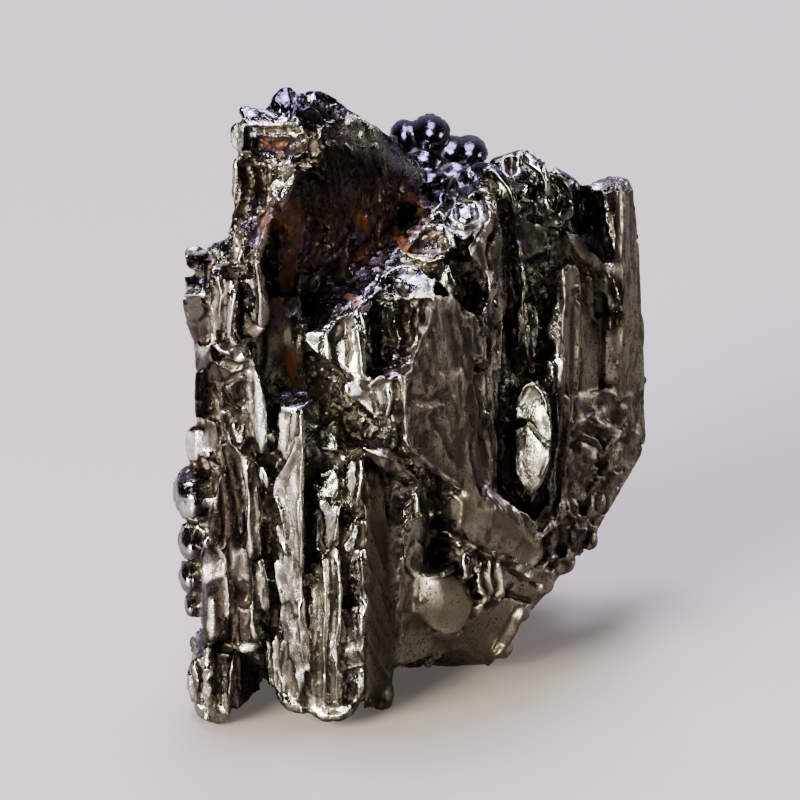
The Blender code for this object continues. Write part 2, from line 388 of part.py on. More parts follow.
PEAK = {
    "peak_knob": Plate(6, [(271, 111, 9.6), (274, 100, 10.4), (282, 92, 11), (292, 91, 11.2),
        (298, 96, 10.8), (300, 110, 9.4), (296, 122, 8.6), (280, 124, 8.4), (270, 119, 9)]),
    "peak_crest": Plate(8, [(298, 98, 11.4), (310, 94, 12.2), (322, 94, 12.6), (336, 101, 12.8),
        (348, 110, 13), (342, 126, 11.2), (322, 130, 10), (302, 126, 9.6)]),
    "peak_shelf": Plate(5, [(239, 117, 9.4), (241, 110, 9.8), (247, 108, 9.8), (257, 113, 9.4),
        (269, 114, 9.2), (270, 122, 8.8), (246, 125, 8.8)]),
    "peak_band": Plate(6, [(247, 124, 9), (301, 121, 8.2), (303, 133, 7.8), (252, 135, 8.6)]),
    "peak_cheek": Plate(5, [(232, 134, 9.8), (237, 125, 9.6), (246, 127, 8.8), (249, 140, 8.5),
        (244, 157, 8.8), (234, 150, 9.6)]),
    "peak_hollow": Plate(6, [(246, 136, 9.6), (304, 134, 9.2), (304, 160, 9), (262, 162, 9.4),
        (246, 156, 9.8)]),
    "peak_tip": Plate(5, [(303, 147, 8), (312, 138, 7.5), (320, 144, 7.4), (322, 164, 7.3),
        (305, 161, 7.9)]),
    "peak_ledge": Plate(6, [(278, 161, 9.2), (321, 160, 8), (322, 169, 7.2), (302, 178, 6.9),
        (282, 169, 7.9)]),
    "peak_breast": Plate(6, [(279, 172, 7.8), (302, 172, 6.9), (296, 186, 6.4), (282, 207, 5.8),
        (273, 201, 6.5), (271, 188, 7.2)]),
    "hollow_lip": Ridge(0.35, [(252, 157, 9), (266, 164, 8.4), (284, 164, 7.8), (304, 158, 7.7)]),
    "peak_shaft": Plate(9, [(240, 160, 9.8), (280, 164, 9.2), (276, 200, 8.2), (274, 225, 6.4),
        (250, 230, 6.6), (232, 238, 8.4), (236, 205, 9.2)]),
    "shaft_rib": Ridge(0.45, [(245, 164, 9.2), (243, 200, 8.6), (236, 235, 7.9)]),
    "peak_blade": Plate(9, [(322, 105, 12.5), (345, 109, 13), (365, 120, 14), (392, 139, 16),
        (424, 178, 18.5), (418, 205, 17), (372, 216, 14), (330, 212, 12), (318, 170, 8.6),
        (322, 140, 9)]),
    "peak_slope": Plate(8, [(302, 178, 7.4), (330, 180, 11), (400, 205, 16), (392, 230, 15),
        (352, 268, 12.4), (318, 298, 10.4), (280, 298, 8.4), (274, 228, 7.2), (284, 206, 6.4)]),
    "peak_drip": Lump((326, 236, 10.4), (10, 14, 1.4)),
}
REAR_TERRACE = {
    "rear_shelf": Plate(4, [(388, 152, 26), (450, 148, 27), (488, 162, 26), (520, 200, 24),
        (430, 205, 20), (398, 190, 20)]),
    "lobe_0": Lump((405, 137, 26), (14, 16, 2)),
    "lobe_1": Lump((433, 131, 26), (19, 18, 2.4)),
    "lobe_2": Lump((470, 156, 26), (19, 18, 2.4)),
    "lobe_3": Lump((425, 153, 25), (15, 13, 2)),
    "lobe_4": Lump((452, 168, 24.5), (14, 14, 2)),
    "lobe_5": Lump((405, 162, 25), (14, 14, 2)),
    "lobe_6": Lump((436, 176, 22.5), (12, 9, 1.4)),
    "lobe_7": Lump((462, 186, 21), (11, 8, 1.3)),
    "lobe_8": Lump((418, 186, 21.5), (11, 9, 1.3)),
    "lobe_9": Lump((440, 196, 18.5), (10, 7, 1.2)),
    "lobe_10": Lump((478, 188, 17.5), (8, 7, 1.2)),
    "terrace": Plate(9, [(306, 300, 9.5), (360, 262, 13), (400, 215, 18), (440, 190, 21),
        (490, 185, 20), (500, 260, 13), (440, 270, 8.5), (380, 296, 7), (340, 320, 6)]),
    "terrace_plate_1": Plate(3, [(362, 268, 11.6), (374, 250, 13.2), (386, 244, 14.2),
        (390, 252, 13.4), (374, 268, 11.8)]),
    "terrace_plate_2": Plate(3, [(396, 240, 14.2), (410, 226, 15.8), (418, 232, 15),
        (406, 248, 13.4)]),
    "terrace_plate_3": Plate(3, [(308, 268, 9.4), (318, 258, 10.4), (326, 268, 9.9),
        (316, 280, 8.9)]),
    "terrace_plate_4": Plate(3, [(338, 296, 9.2), (352, 284, 10.2), (362, 290, 9.6),
        (350, 304, 8.4)]),
    "terrace_plate_5": Plate(3, [(418, 208, 17.6), (434, 198, 18.6), (446, 204, 17.6),
        (432, 214, 16.6)]),
    "terrace_plate_6": Plate(3, [(455, 190, 19.2), (472, 184, 19.4), (482, 192, 18),
        (468, 200, 17.2)]),
    "terrace_bead_1": Lump((296, 300, 8.7), (7, 8, 0.8)),
    "terrace_bead_2": Lump((330, 282, 10), (8, 6, 0.8)),
    "terrace_bead_3": Lump((352, 268, 11.7), (7, 7, 0.8)),
    "terrace_bead_4": Lump((380, 278, 9.8), (8, 6, 0.8)),
    "terrace_bead_5": Lump((404, 262, 10.8), (9, 6, 0.8)),
    "terrace_bead_6": Lump((392, 222, 16.2), (8, 6, 0.8)),
    "terrace_bead_7": Lump((288, 232, 7.3), (7, 8, 0.8)),
    "terrace_bead_8": Lump((290, 318, 7.9), (6, 9, 0.7)),
    "cleft_seam": Ridge(0.3, [(303, 268, 8.6), (301, 300, 8.4), (303, 325, 7.8), (300, 352, 7.2),
        (296, 380, 6.7)]),
    "cleft_block_1": Plate(3, [(282, 362, 6.6), (290, 358, 6.5), (292, 376, 6.1), (284, 380, 6.1)]),
    "cleft_block_2": Plate(3, [(294, 352, 7), (303, 350, 7.2), (302, 370, 6.6), (295, 372, 6.4)]),
}
BACKING = {
    "pillar_core": Plate(9, [(200, 262, 5), (262, 232, 6), (266, 340, 3.4), (266, 650, 3.2),
        (240, 700, 3.4), (204, 700, 4.4), (206, 420, 4.6), (202, 340, 4.8)], level=True),
    "pillar_core_2": Plate(6, [(204, 300, 3.6), (262, 285, 3.2), (262, 372, 2.6), (206, 372, 3.4)]),
    "pillar_core_3": Plate(6, [(212, 380, 3.4), (264, 372, 2.6), (266, 640, 2.6),
        (210, 640, 3.4)], level=True),
    "flute_core": Plate(10, [(280, 410, 3), (340, 425, 4), (364, 460, 2.8), (366, 700, 1.6),
        (284, 700, 2.6)], level=True),
    "flute_core_2": Plate(9, [(300, 560, 2.2), (364, 560, 1.8), (364, 700, 1.5),
        (300, 700, 2.2)], level=True),
    "ridge_core": Plate(9, [(334, 330, 4.4), (372, 300, 5.2), (428, 300, 5.2), (420, 370, 3.6),
        (406, 436, 2.8), (350, 392, 3), (334, 366, 3.2)]),
    "ridge_core_2": Plate(10, [(372, 300, 6), (440, 272, 7.4), (500, 270, 12), (500, 500, 9),
        (430, 470, 5.5), (400, 430, 4.4)]),
    "upper_core": Plate(10, [(410, 262, 9.6), (440, 226, 11), (480, 206, 12.4), (505, 215, 13.6),
        (505, 330, 12), (450, 300, 9)]),
    "right_core": Plate(9, [(500, 190, 15), (560, 200, 17.5), (600, 250, 20), (604, 400, 19),
        (560, 520, 13.4), (500, 520, 11.6), (500, 262, 14)]),
    "slab_core": Plate(6, [(590, 192, 22), (628, 190, 21.5), (636, 240, 21.5), (640, 400, 21),
        (604, 400, 19.4), (604, 300, 20.2)]),
    "low_core": Plate(9, [(440, 480, 7.6), (548, 520, 12.4), (560, 575, 13), (510, 640, 12),
        (440, 665, 12), (400, 665, 12.4), (396, 480, 9.4)], level=True),
    "low_core_2": Plate(9, [(478, 540, 8.4), (548, 548, 11.6), (556, 575, 12.8), (500, 600, 9.4),
        (476, 590, 8.2)], level=True),
    "low_core_3": Plate(6, [(545, 500, 12.4), (570, 470, 14), (565, 540, 13), (540, 560, 11.6),
        (520, 530, 9)]),
    "peak_core": Plate(9, [(244, 128, 10.6), (318, 104, 12.8), (320, 170, 9.6), (300, 200, 8.6),
        (276, 230, 8.2), (240, 230, 9.4)]),
}

FRONT = (CAP, HOOD, WAIST, BULGES, TRUNK, LEFT_FOOT, CLEFT, CENTRAL_FLUTE, RIGHT_FLUTE,
         CORNER_FLUTE, RECESS_STRIP, LENS_LEDGE, FRONT_RIDGE, UPPER_RIDGE, TOP_LUMPS,
         RIGHT_SIDE, LOWER_RIGHT, PEAK, REAR_TERRACE, BACKING)

# ---------------------------------------------------------------- sides and back
REAR = {
    "side_flute_1": Flute(-12.6, 11.0, 2.4, 1.5, 28.5),
    "side_flute_2": Flute(-12.2, 14.5, 2.3, 4.0, 26.5),
    "side_flute_3": Flute(-11.4, 18.5, 2.6, 2.0, 27.0),
    "side_flute_4": Flute(-9.6, 22.5, 2.5, 5.0, 28.0),
    "rear_flute_1": Flute(-7.4, 25.2, 2.9, 0.8, 33.0),
    "rear_flute_2": Flute(-3.6, 26.6, 2.5, -0.8, 30.0),
    "rear_flute_3": Flute(0.2, 27.0, 2.8, -0.8, 33.0),
    "rear_flute_4": Flute(4.2, 26.8, 2.6, 3.0, 30.5),
    "rear_flute_5": Flute(8.0, 26.2, 2.9, 4.5, 31.5),
    "rear_flute_6": Flute(11.6, 25.4, 2.4, 7.0, 29.5),
}
FLUTE_SIDES = 6             # corners of a flute's cross-section
FLUTE_BLOCK = 4.5           # height of one block of a flute, mm
FLUTE_ROUGHNESS = 0.28      # how far a section's corners wander, share of its width

# Small upright crystals on the sides and back, as (least, most) half sizes in mm.
CRYSTALS = 64
CRYSTAL_WIDTH = (0.7, 1.7)
CRYSTAL_HEIGHT = (1.0, 3.2)
CRYSTAL_PROUD = (0.3, 0.9)
CRYSTAL_ROOT = 1.5          # how deep a crystal is rooted, mm
CRYSTAL_REACH = 13.0        # how far from the middle they grow, across, mm
CRYSTAL_TOP = 27.0          # none grow higher than this, mm

# The hidden middle, as (across, back, height) corners in mm.
CORE_LOW = [(-9, 5, 3), (-1, 4.5, 3), (4, 12, 1.5), (4, 22, 1), (-6, 23, 1), (-10, 15, 2),
            (-12, 5, 14), (0, 4, 14), (13, 22, 14), (10, 26, 14), (-9, 25, 14), (-12.5, 13, 14)]
CORE_HIGH = [(-12, 6, 14), (0, 5, 14), (14, 22, 14), (10, 26, 14), (-9, 25, 14), (-12.5, 13, 14),
             (-11, 9, 27), (-2, 10, 25), (6, 14, 26), (13, 21, 28), (10, 25, 29), (-2, 26, 30),
             (-10, 21, 30)]


def sheet_point(corner):
    """The place in mm of a sheet corner: across, back from the middle, height."""
    x, y, back = corner
    across = (x - SHEET_MIDDLE) / SHEET_UNITS_PER_MM
    up = (SHEET_GROUND - y) / SHEET_UNITS_PER_MM
    height = (up - math.sin(LEAN) * back) / math.cos(LEAN)
    return Vector((across, back - DEPTH / 2, height))


def add_hull(skin, points):
    """Add the closed flat-faced solid that wraps some points."""
    made = [skin.verts.new(point) for point in points]
    hull = bmesh.ops.convex_hull(skin, input=made)
    spare = {item for item in hull["geom_interior"] + hull["geom_unused"]
             if isinstance(item, bmesh.types.BMVert)}
    bmesh.ops.delete(skin, geom=list(spare), context="VERTS")


def add_plate(skin, plate):
    """Add a flat-faced crystal, narrower behind than in front."""
    front = [sheet_point(corner) for corner in plate.corners]
    middle = sum(front, Vector()) / len(front)
    lean = 0.0 if plate.level else LEAN
    rearward = Vector((0, math.cos(lean), -math.sin(lean))) * plate.depth
    rear = [middle + (point - middle) * PLATE_TAPER + rearward for point in front]
    add_hull(skin, front + rear)


def ball_points(centre, radius, turns=8, rings=4):
    """Points spread evenly over a small ball."""
    points = [centre + Vector((0, 0, radius)), centre - Vector((0, 0, radius))]
    for ring in range(1, rings):
        tilt = math.pi * ring / rings
        for turn in range(turns):
            angle = 2 * math.pi * turn / turns
            points.append(centre + radius * Vector((math.sin(tilt) * math.cos(angle),
                                                    math.sin(tilt) * math.sin(angle),
                                                    math.cos(tilt))))
    return points


def add_ridge(skin, ridge):
    """Add a rounded rib, one straight length at a time."""
    places = [sheet_point(point) for point in ridge.points]
    for start, end in zip(places, places[1:]):
        add_hull(skin, ball_points(start, ridge.radius) + ball_points(end, ridge.radius))


def add_lump(skin, lump):
    """Add a rounded knob."""
    across, up, deep = lump.radii
    ball = bmesh.ops.create_icosphere(skin, subdivisions=3, radius=1.0)
    size = Vector((across / SHEET_UNITS_PER_MM, deep, up / SHEET_UNITS_PER_MM))
    centre = sheet_point(lump.centre)
    for vert in ball["verts"]:
        vert.co = centre + vert.co * size


def flute_section(flute, height, rng):
    """One rough cross-section of a flute."""
    centre = Vector((flute.across, flute.back - DEPTH / 2, height))
    corners = []
    for side in range(FLUTE_SIDES):
        angle = 2 * math.pi * (side + rng.uniform(-0.3, 0.3)) / FLUTE_SIDES
        reach = flute.width * (1 + rng.uniform(-FLUTE_ROUGHNESS, FLUTE_ROUGHNESS))
        corners.append(centre + reach * Vector((math.cos(angle), math.sin(angle), 0)))
    return corners


def add_flute(skin, flute, rng):
    """Add a rough column of stacked blocks that narrows at its foot and top."""
    blocks = round((flute.top - flute.foot) / FLUTE_BLOCK)
    sections = []
    for level in range(blocks + 1):
        height = flute.foot + (flute.top - flute.foot) * level / blocks
        narrow = 0.6 if level in (0, blocks) else 1.0
        sections.append(flute_section(flute._replace(width=flute.width * narrow), height, rng))
    for lower, upper in zip(sections, sections[1:]):
        add_hull(skin, lower + upper)


def grows_crystals(face):
    """Whether a face of the skin looks sideways or back, not up or to the front."""
    centre = face.calc_center_median()
    away = face.normal.y * math.cos(LEAN) - face.normal.z * math.sin(LEAN)
    return (away > -0.1 and abs(face.normal.z) < 0.6 and centre.y > 0
            and abs(centre.x) < CRYSTAL_REACH and centre.z < CRYSTAL_TOP)


def add_crystal(skin, root, outward, rng):
    """Add one upright crystal whose face stands proud of the skin at its root."""
    across = outward.cross(Vector((0, 0, 1))).normalized()
    along = across.cross(outward)
    width = rng.uniform(*CRYSTAL_WIDTH)
    height = rng.uniform(*CRYSTAL_HEIGHT)
    proud = rng.uniform(*CRYSTAL_PROUD)
    corners = []
    for side in (-1, 1):
        for end in (-1, 1):
            foot = (root + across * side * width * rng.uniform(0.6, 1.1)
                    + along * end * height * rng.uniform(0.6, 1.1))
            corners.append(foot + outward * proud * rng.uniform(0.3, 1.2))
            corners.append(foot - outward * CRYSTAL_ROOT)
    add_hull(skin, corners)


def roughen(body, rng):
    """Grow small crystals on the hidden sides of the fused skin."""
    skin = bmesh.new()
    skin.from_mesh(body.data)
    skin.normal_update()
    beds = [face for face in skin.faces if grows_crystals(face)]
    roots = [(face.calc_center_median(), face.normal.copy())
             for face in rng.sample(beds, CRYSTALS)]
    for root, outward in roots:
        add_crystal(skin, root, outward, rng)
    bmesh.ops.recalc_face_normals(skin, faces=skin.faces)
    skin.to_mesh(body.data)
    skin.free()


def add_core(skin, corners):
    """Add one block of the hidden middle."""
    add_hull(skin, [Vector((across, back - DEPTH / 2, height))
                    for across, back, height in corners])


def all_forms(rng):
    """Every form of the fragment as one mesh of overlapping closed shapes, in mm."""
    skin = bmesh.new()
    adders = {Plate: add_plate, Ridge: add_ridge, Lump: add_lump}
    for zone in FRONT:
        for form in zone.values():
            adders[type(form)](skin, form)
    for flute in REAR.values():
        add_flute(skin, flute, rng)
    for corners in (CORE_LOW, CORE_HIGH):
        add_core(skin, corners)
    bmesh.ops.recalc_face_normals(skin, faces=skin.faces)
    mesh = bpy.data.meshes.new("meteorite")
    skin.to_mesh(mesh)
    skin.free()
    return mesh


def keep_largest_body(mesh):
    """Drop loose crumbs, so that one closed skin is left."""
    skin = bmesh.new()
    skin.from_mesh(mesh)
    unseen = set(skin.verts)
    bodies = []
    while unseen:
        body = []
        edge_of_search = [unseen.pop()]
        while edge_of_search:
            vert = edge_of_search.pop()
            body.append(vert)
            for link in vert.link_edges:
                other = link.other_vert(vert)
                if other in unseen:
                    unseen.remove(other)
                    edge_of_search.append(other)
        bodies.append(body)
    bodies.sort(key=len)
    for body in bodies[:-1]:
        bmesh.ops.delete(skin, geom=body, context="VERTS")
    skin.to_mesh(mesh)
    skin.free()


def evaluated(body, mesh_name):
    """Replace an object's mesh by what its modifiers make of it."""
    depsgraph = bpy.context.evaluated_depsgraph_get()
    mesh = bpy.data.meshes.new_from_object(body.evaluated_get(depsgraph))
    mesh.name = mesh_name
    body.modifiers.clear()
    body.data = mesh
    return mesh


def fuse(body):
    """Fuse the overlapping forms into one rounded skin."""
    remesh = body.modifiers.new("fuse", "REMESH")
    remesh.mode = "VOXEL"
    remesh.voxel_size = SKIN_STEP
    smooth = body.modifiers.new("round", "SMOOTH")
    smooth.factor = 0.5
    smooth.iterations = SKIN_SMOOTHING
    keep_largest_body(evaluated(body, "meteorite_skin"))


def thin(body):
    """Thin the skin to flat facets, more of them where it is rough."""
    triangles = sum(len(face.vertices) - 2 for face in body.data.polygons)
    decimate = body.modifiers.new("facets", "DECIMATE")
    decimate.ratio = FACETS / triangles
    decimate.use_collapse_triangulate = True
    evaluated(body, "meteorite_facets")


def stand_level(body):
    """Cut the feet level at the ground and close the cuts."""
    skin = bmesh.new()
    skin.from_mesh(body.data)
    bmesh.ops.bisect_plane(skin, geom=skin.verts[:] + skin.edges[:] + skin.faces[:], dist=1e-4,
                           plane_co=(0, 0, 0), plane_no=(0, 0, 1), clear_inner=True)
    rim = [edge for edge in skin.edges if edge.is_boundary]
    bmesh.ops.holes_fill(skin, edges=rim)
    bmesh.ops.triangulate(skin, faces=[face for face in skin.faces if len(face.verts) > 3])
    bmesh.ops.recalc_face_normals(skin, faces=skin.faces)
    skin.to_mesh(body.data)
    skin.free()
    keep_largest_body(body.data)


def centre_and_scale(mesh):
    """Put the origin under the middle of the fragment, at ground level, in metres."""
    lows = [min(vert.co[axis] for vert in mesh.vertices) for axis in range(3)]
    highs = [max(vert.co[axis] for vert in mesh.vertices) for axis in range(3)]
    shift = Vector(((lows[0] + highs[0]) / 2, (lows[1] + highs[1]) / 2, lows[2]))
    for vert in mesh.vertices:
        vert.co = (vert.co - shift) * MM
    print("size in mm:", [round(high - low, 2) for low, high in zip(lows, highs)],
          "shift in mm:", [round(value, 3) for value in shift],
          "triangles:", len(mesh.polygons))


def nickel_iron():
    """Dark polished nickel-iron."""
    material = bpy.data.materials.new("nickel_iron")
    material.use_nodes = True
    shader = material.node_tree.nodes["Principled BSDF"]
    shader.inputs["Base Color"].default_value = METAL_COLOUR
    shader.inputs["Metallic"].default_value = 1.0
    shader.inputs["Roughness"].default_value = METAL_ROUGHNESS
    return material


def main():
    for old in list(bpy.data.objects):
        bpy.data.objects.remove(old, do_unlink=True)
    parts = bpy.data.collections.new("iron_meteorite")
    bpy.context.scene.collection.children.link(parts)

    rng = random.Random(SEED)
    body = bpy.data.objects.new("meteorite", all_forms(rng))
    parts.objects.link(body)
    fuse(body)
    roughen(body, rng)
    fuse(body)
    thin(body)
    stand_level(body)
    centre_and_scale(body.data)
    body.data.materials.clear()
    body.data.materials.append(nickel_iron())


main()
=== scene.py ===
# %% [markdown]
# # An iron meteorite
#
# The specimen is one fragment of nickel-iron that was torn along its crystal
# plates and then etched and polished. Its front is a left pillar, three upright
# flutes, a ridge that leans over them, thin plates that step back to the right,
# and a peak behind the pillar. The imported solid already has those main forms, cut
# down to a few thousand flat facets. Here the same forms are built again at full
# sharpness, fused, and given the fine relief and the finish of the real metal.
#
# The cells run in order: the frame, the forms, the fused skin, the carved
# relief, the finish, the stage, and the camera.

import math
from collections import namedtuple

import bmesh
import bpy
import numpy as np
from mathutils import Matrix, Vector


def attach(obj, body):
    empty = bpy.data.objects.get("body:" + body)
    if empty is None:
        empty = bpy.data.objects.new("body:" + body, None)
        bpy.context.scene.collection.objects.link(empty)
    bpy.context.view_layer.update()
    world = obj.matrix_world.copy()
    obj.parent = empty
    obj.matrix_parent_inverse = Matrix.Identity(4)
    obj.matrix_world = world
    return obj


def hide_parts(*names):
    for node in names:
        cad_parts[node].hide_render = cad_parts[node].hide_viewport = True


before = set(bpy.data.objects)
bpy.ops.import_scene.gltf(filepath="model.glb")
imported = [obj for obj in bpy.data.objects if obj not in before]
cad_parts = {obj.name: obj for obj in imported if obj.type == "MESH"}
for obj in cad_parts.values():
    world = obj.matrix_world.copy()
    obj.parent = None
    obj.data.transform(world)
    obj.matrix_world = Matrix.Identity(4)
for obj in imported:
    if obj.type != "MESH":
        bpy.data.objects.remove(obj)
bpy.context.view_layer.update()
MM = 0.001                  # one millimetre in metres

# %% [markdown]
# ## The sheet
#
# The front forms are drawn on one sheet, an elevation that leans back by 20
# degrees, as someone would sketch the specimen from slightly above. A corner is
# (x, y, back): x to the right and y down in sheet units, and back in millimetres
# behind the frontmost foot. It keeps every form's place easy to read and change,
# which a list of 3-D coordinates would not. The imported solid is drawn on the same
# sheet, so both agree.

# %% From sheet to millimetres
LEAN = math.radians(20.0)
SHEET_UNITS_PER_MM = 14.6
SHEET_MIDDLE = 411.0        # x of the middle of the fragment
SHEET_GROUND = 732.0        # y of the ground under the frontmost foot
DEPTH = 30.0                # front foot to rearmost flute, mm
# How far the middle of the solid's box is from the middle of the sheet, mm.
BOX_OFFSET = Vector((0.064, 0.235, 0.0))
SIGHT = Vector((0.0, math.cos(LEAN), -math.sin(LEAN)))


def sheet_point(corner):
    """The place in mm, in the frame, of a sheet corner."""
    x, y, back = corner
    across = (x - SHEET_MIDDLE) / SHEET_UNITS_PER_MM
    up = (SHEET_GROUND - y) / SHEET_UNITS_PER_MM
    height = (up - math.sin(LEAN) * back) / math.cos(LEAN)
    return Vector((across, back - DEPTH / 2, height)) - BOX_OFFSET


def sheet_places(points):
    """The sheet x and y of an array of points in mm."""
    places = points + np.array(BOX_OFFSET)
    back = places[:, 1] + DEPTH / 2
    up = places[:, 2] * math.cos(LEAN) + back * math.sin(LEAN)
    return np.stack((places[:, 0] * SHEET_UNITS_PER_MM + SHEET_MIDDLE,
                     SHEET_GROUND - up * SHEET_UNITS_PER_MM), axis=1)


print("frontmost foot in mm:", [round(value, 2) for value in sheet_point((411, 732, 0))])

# %% [markdown]
# ## Three kinds of form
#
# Points are written as in a drawing file: numbers with commas between them, and a
# space before the next point. A plate is a flat-faced crystal: its depth in mm and
# its front corners. It runs back square to the sheet, or level where it stands on
# the ground. A ridge is a thin rounded rib along a few points. A lump is a rounded
# knob, with three radii after its centre: across and up in sheet units, and deep in
# mm. A slash parts several forms of one kind. Each is a small closed convex shape,
# so many of them can overlap freely and fuse later, which is far easier to shape
# than one big mesh.

# %% Builders of the forms
Plate = namedtuple("Plate", "depth corners level", defaults=(False,))
Ridge = namedtuple("Ridge", "radius points")
Lump = namedtuple("Lump", "knobs")
PLATE_TAPER = 0.85          # a plate's rear outline, as a share of its front one


def points_of(text):
    """The points of a path that is written as in a drawing file."""
    return [tuple(float(number) for number in point.split(",")) for point in text.split()]


def paths_of(text):
    """Several paths in one text, parted by slashes."""
    return [points_of(part) for part in text.split("/")]


def add_hull(skin, points):
    """Add the closed flat-faced solid that wraps some points."""
    made = [skin.verts.new(point) for point in points]
    hull = bmesh.ops.convex_hull(skin, input=made)
    spare = {item for item in hull["geom_interior"] + hull["geom_unused"]
             if isinstance(item, bmesh.types.BMVert)}
    bmesh.ops.delete(skin, geom=list(spare), context="VERTS")


def add_plate(skin, plate):
    """Add flat-faced crystals, narrower behind than in front."""
    lean = 0.0 if plate.level else LEAN
    rearward = Vector((0, math.cos(lean), -math.sin(lean))) * plate.depth
    for corners in paths_of(plate.corners):
        front = [sheet_point(corner) for corner in corners]
        middle = sum(front, Vector()) / len(front)
        rear = [middle + (point - middle) * PLATE_TAPER + rearward for point in front]
        add_hull(skin, front + rear)


def ball_points(centre, radius, turns=8, rings=4):
    """Points spread evenly over a small ball."""
    points = [centre + Vector((0, 0, radius)), centre - Vector((0, 0, radius))]
    for ring in range(1, rings):
        tilt = math.pi * ring / rings
        for turn in range(turns):
            angle = 2 * math.pi * turn / turns
            points.append(centre + radius * Vector((math.sin(tilt) * math.cos(angle),
                                                    math.sin(tilt) * math.sin(angle),
                                                    math.cos(tilt))))
    return points


def add_ridge(skin, ridge):
    """Add rounded ribs, one straight length at a time."""
    for path in paths_of(ridge.points):
        places = [sheet_point(point) for point in path]
        for start, end in zip(places, places[1:]):
            add_hull(skin, ball_points(start, ridge.radius) + ball_points(end, ridge.radius))


def add_lump(skin, lump):
    """Add rounded knobs."""
    for x, y, back, across, up, deep in points_of(lump.knobs):
        ball = bmesh.ops.create_icosphere(skin, subdivisions=3, radius=1.0)
        size = Vector((across / SHEET_UNITS_PER_MM, deep, up / SHEET_UNITS_PER_MM))
        centre = sheet_point((x, y, back))
        for vert in ball["verts"]:
            vert.co = centre + vert.co * size


ADDERS = {Plate: add_plate, Ridge: add_ridge, Lump: add_lump}
ZONES = []


def add_zone(title, forms):
    """Keep a zone's forms for the fused skin."""
    ZONES.append(forms)
    print(title, "entries:", len(forms))


# %% [markdown]
# ## The left pillar
#
# A cap with a stepped lip stands over a hood and a waist. Rounded bulges run down
# the outer edge, and the trunk ends in a foot of its own.

# %% Left pillar
CAP = {
    "cap_knob": Plate(6, "186,257,2.8 190,249,3.6 200,247,4 208,251,4 215,259,3.2 216,268,2.6 "
        "208,274,2.4 190,272,2.4"),
    "cap_step": Plate(6, "186,277,3.6 208,275,2.6 211,296,1.2 188,298,2.6"),
    "cap_lip": Ridge(0.3, "189,297,2.8 198,296,2 209,298,1.5"),
    "cap_block": Plate(6, "184,300,3.2 206,299,1.7 209,316,1.9 203,323,2.3 190,322,3.1"),
    "under_cap": Plate(6, "188,322,3.6 214,318,2.2 214,345,2.6 195,342,3.8"),
    "jaw_block": Plate(6, "195,344,3.6 212,345,1.9 216,358,2 210,372,2.4 198,370,3.8"),
}
HOOD = {
    "hood": Plate(7, "213,253,2.2 228,246,2 244,229,2.8 262,216,4.2 275,207,5.4 272,235,3 "
        "268,262,2 246,268,1.3 222,271,1.5"),
    "hood_crease": Ridge(0.35, "250,231,2.7 246,248,1.5 243,264,1"),
    "hood_edge": Ridge(0.4, "270,230,3.2 268,246,2.2 261,262,1.6 262,280,1.3 266,300,1.2 "
        "266,322,1.4"),
    "pillar_flutes": Plate(7, "214,272,2.8 264,268,2.6 266,330,2.2 258,345,2 218,345,2.6 "
        "212,310,2.8"),
    "flute_1": Ridge(0.25, "217,276,2.4 213,300,2.2 216,325,2.2 217,345,2.1"),
    "flute_2": Ridge(0.35, "222,278,2.1 227,295,1.8 224,312,1.9 226,330,2"),
    "flute_3": Ridge(0.5, "235,285,1.8 236,305,1.3 234,325,1.5 237,343,1.6"),
    "cell_rim": Ridge(0.25, "243,282,2 251,283,1.7 257,292,1.6 258,310,1.6"),
    "cell_ledge": Plate(3, "248,314,1.6 262,312,1.1 265,322,1.3 254,326,1.6"),
    "chin_lip": Ridge(0.35, "221,346,1.8 227,352,1.2 233,355,1 240,348,1.2 249,341,1.7"),
    "chin": Plate(6, "233,357,1 250,343,1.6 253,360,0.9 244,365,0.9 222,360,1.4"),
}
WAIST = {
    "waist_left": Plate(6, "198,372,2.7 218,365,3 222,390,3.2 216,420,3.3 197,418,2.9 198,395,2.7"),
    "waist_boulder": Plate(6, "218,362,1.9 236,372,1.5 246,362,1.2 250,378,1.4 244,384,1.6 "
        "226,384,2.2"),
    "striped_blade": Plate(6, "250,345,1.2 258,365,1 266,385,1.1 270,410,0.9 272,440,0.9 "
        "264,458,0.9 256,440,1.4 250,410,2 246,375,1.8"),
    "waist_panel": Plate(6, "224,386,1.7 248,380,2.3 254,440,2.4 246,455,2.2 226,430,1.8 "
        "220,410,1.8"),
    "waist_drop": Plate(4, "258,463,1.4 266,465,1 271,480,0.8 270,490,0.9 262,484,1.2 259,472,1.4"),
    "waist_seam": Ridge(0.3, "232,438,2 243,452,1.6 247,470,1.4 249,490,1.3 252,520,1.2 "
        "251,545,1.2 254,560,1.3"),
    "waist_pane": Plate(5, "221,436,1.9 245,455,2.1 248,490,2.2 240,500,2.1 227,470,1.8"),
    "waist_back": Plate(6, "205,420,3.2 225,420,2.6 260,460,2.4 262,500,2.4 215,500,3.4"),
}
BULGES = {
    "bulge_top": Plate(4, "189,430,4.4 196,425,4.2 207,428,3.4 208,438,3.2 200,462,3.4 190,462,4.4 "
        "187,445,4.8"),
    "bulge_crumb": Lump("212,452,3.8,9,9,1"),
    "big_bulge": Lump("198,491,4.6,24,28,2.8"),
    "bulge_window": Plate(3, "183,499,3.5 197,500,2.2 198,517,2.2 184,518,3.4"),
    "bulges": Lump("195,539,4.4,16,20,2.4 192,573,4.8,13,18,2.2 193,602,5,8,12,1.8"),
}
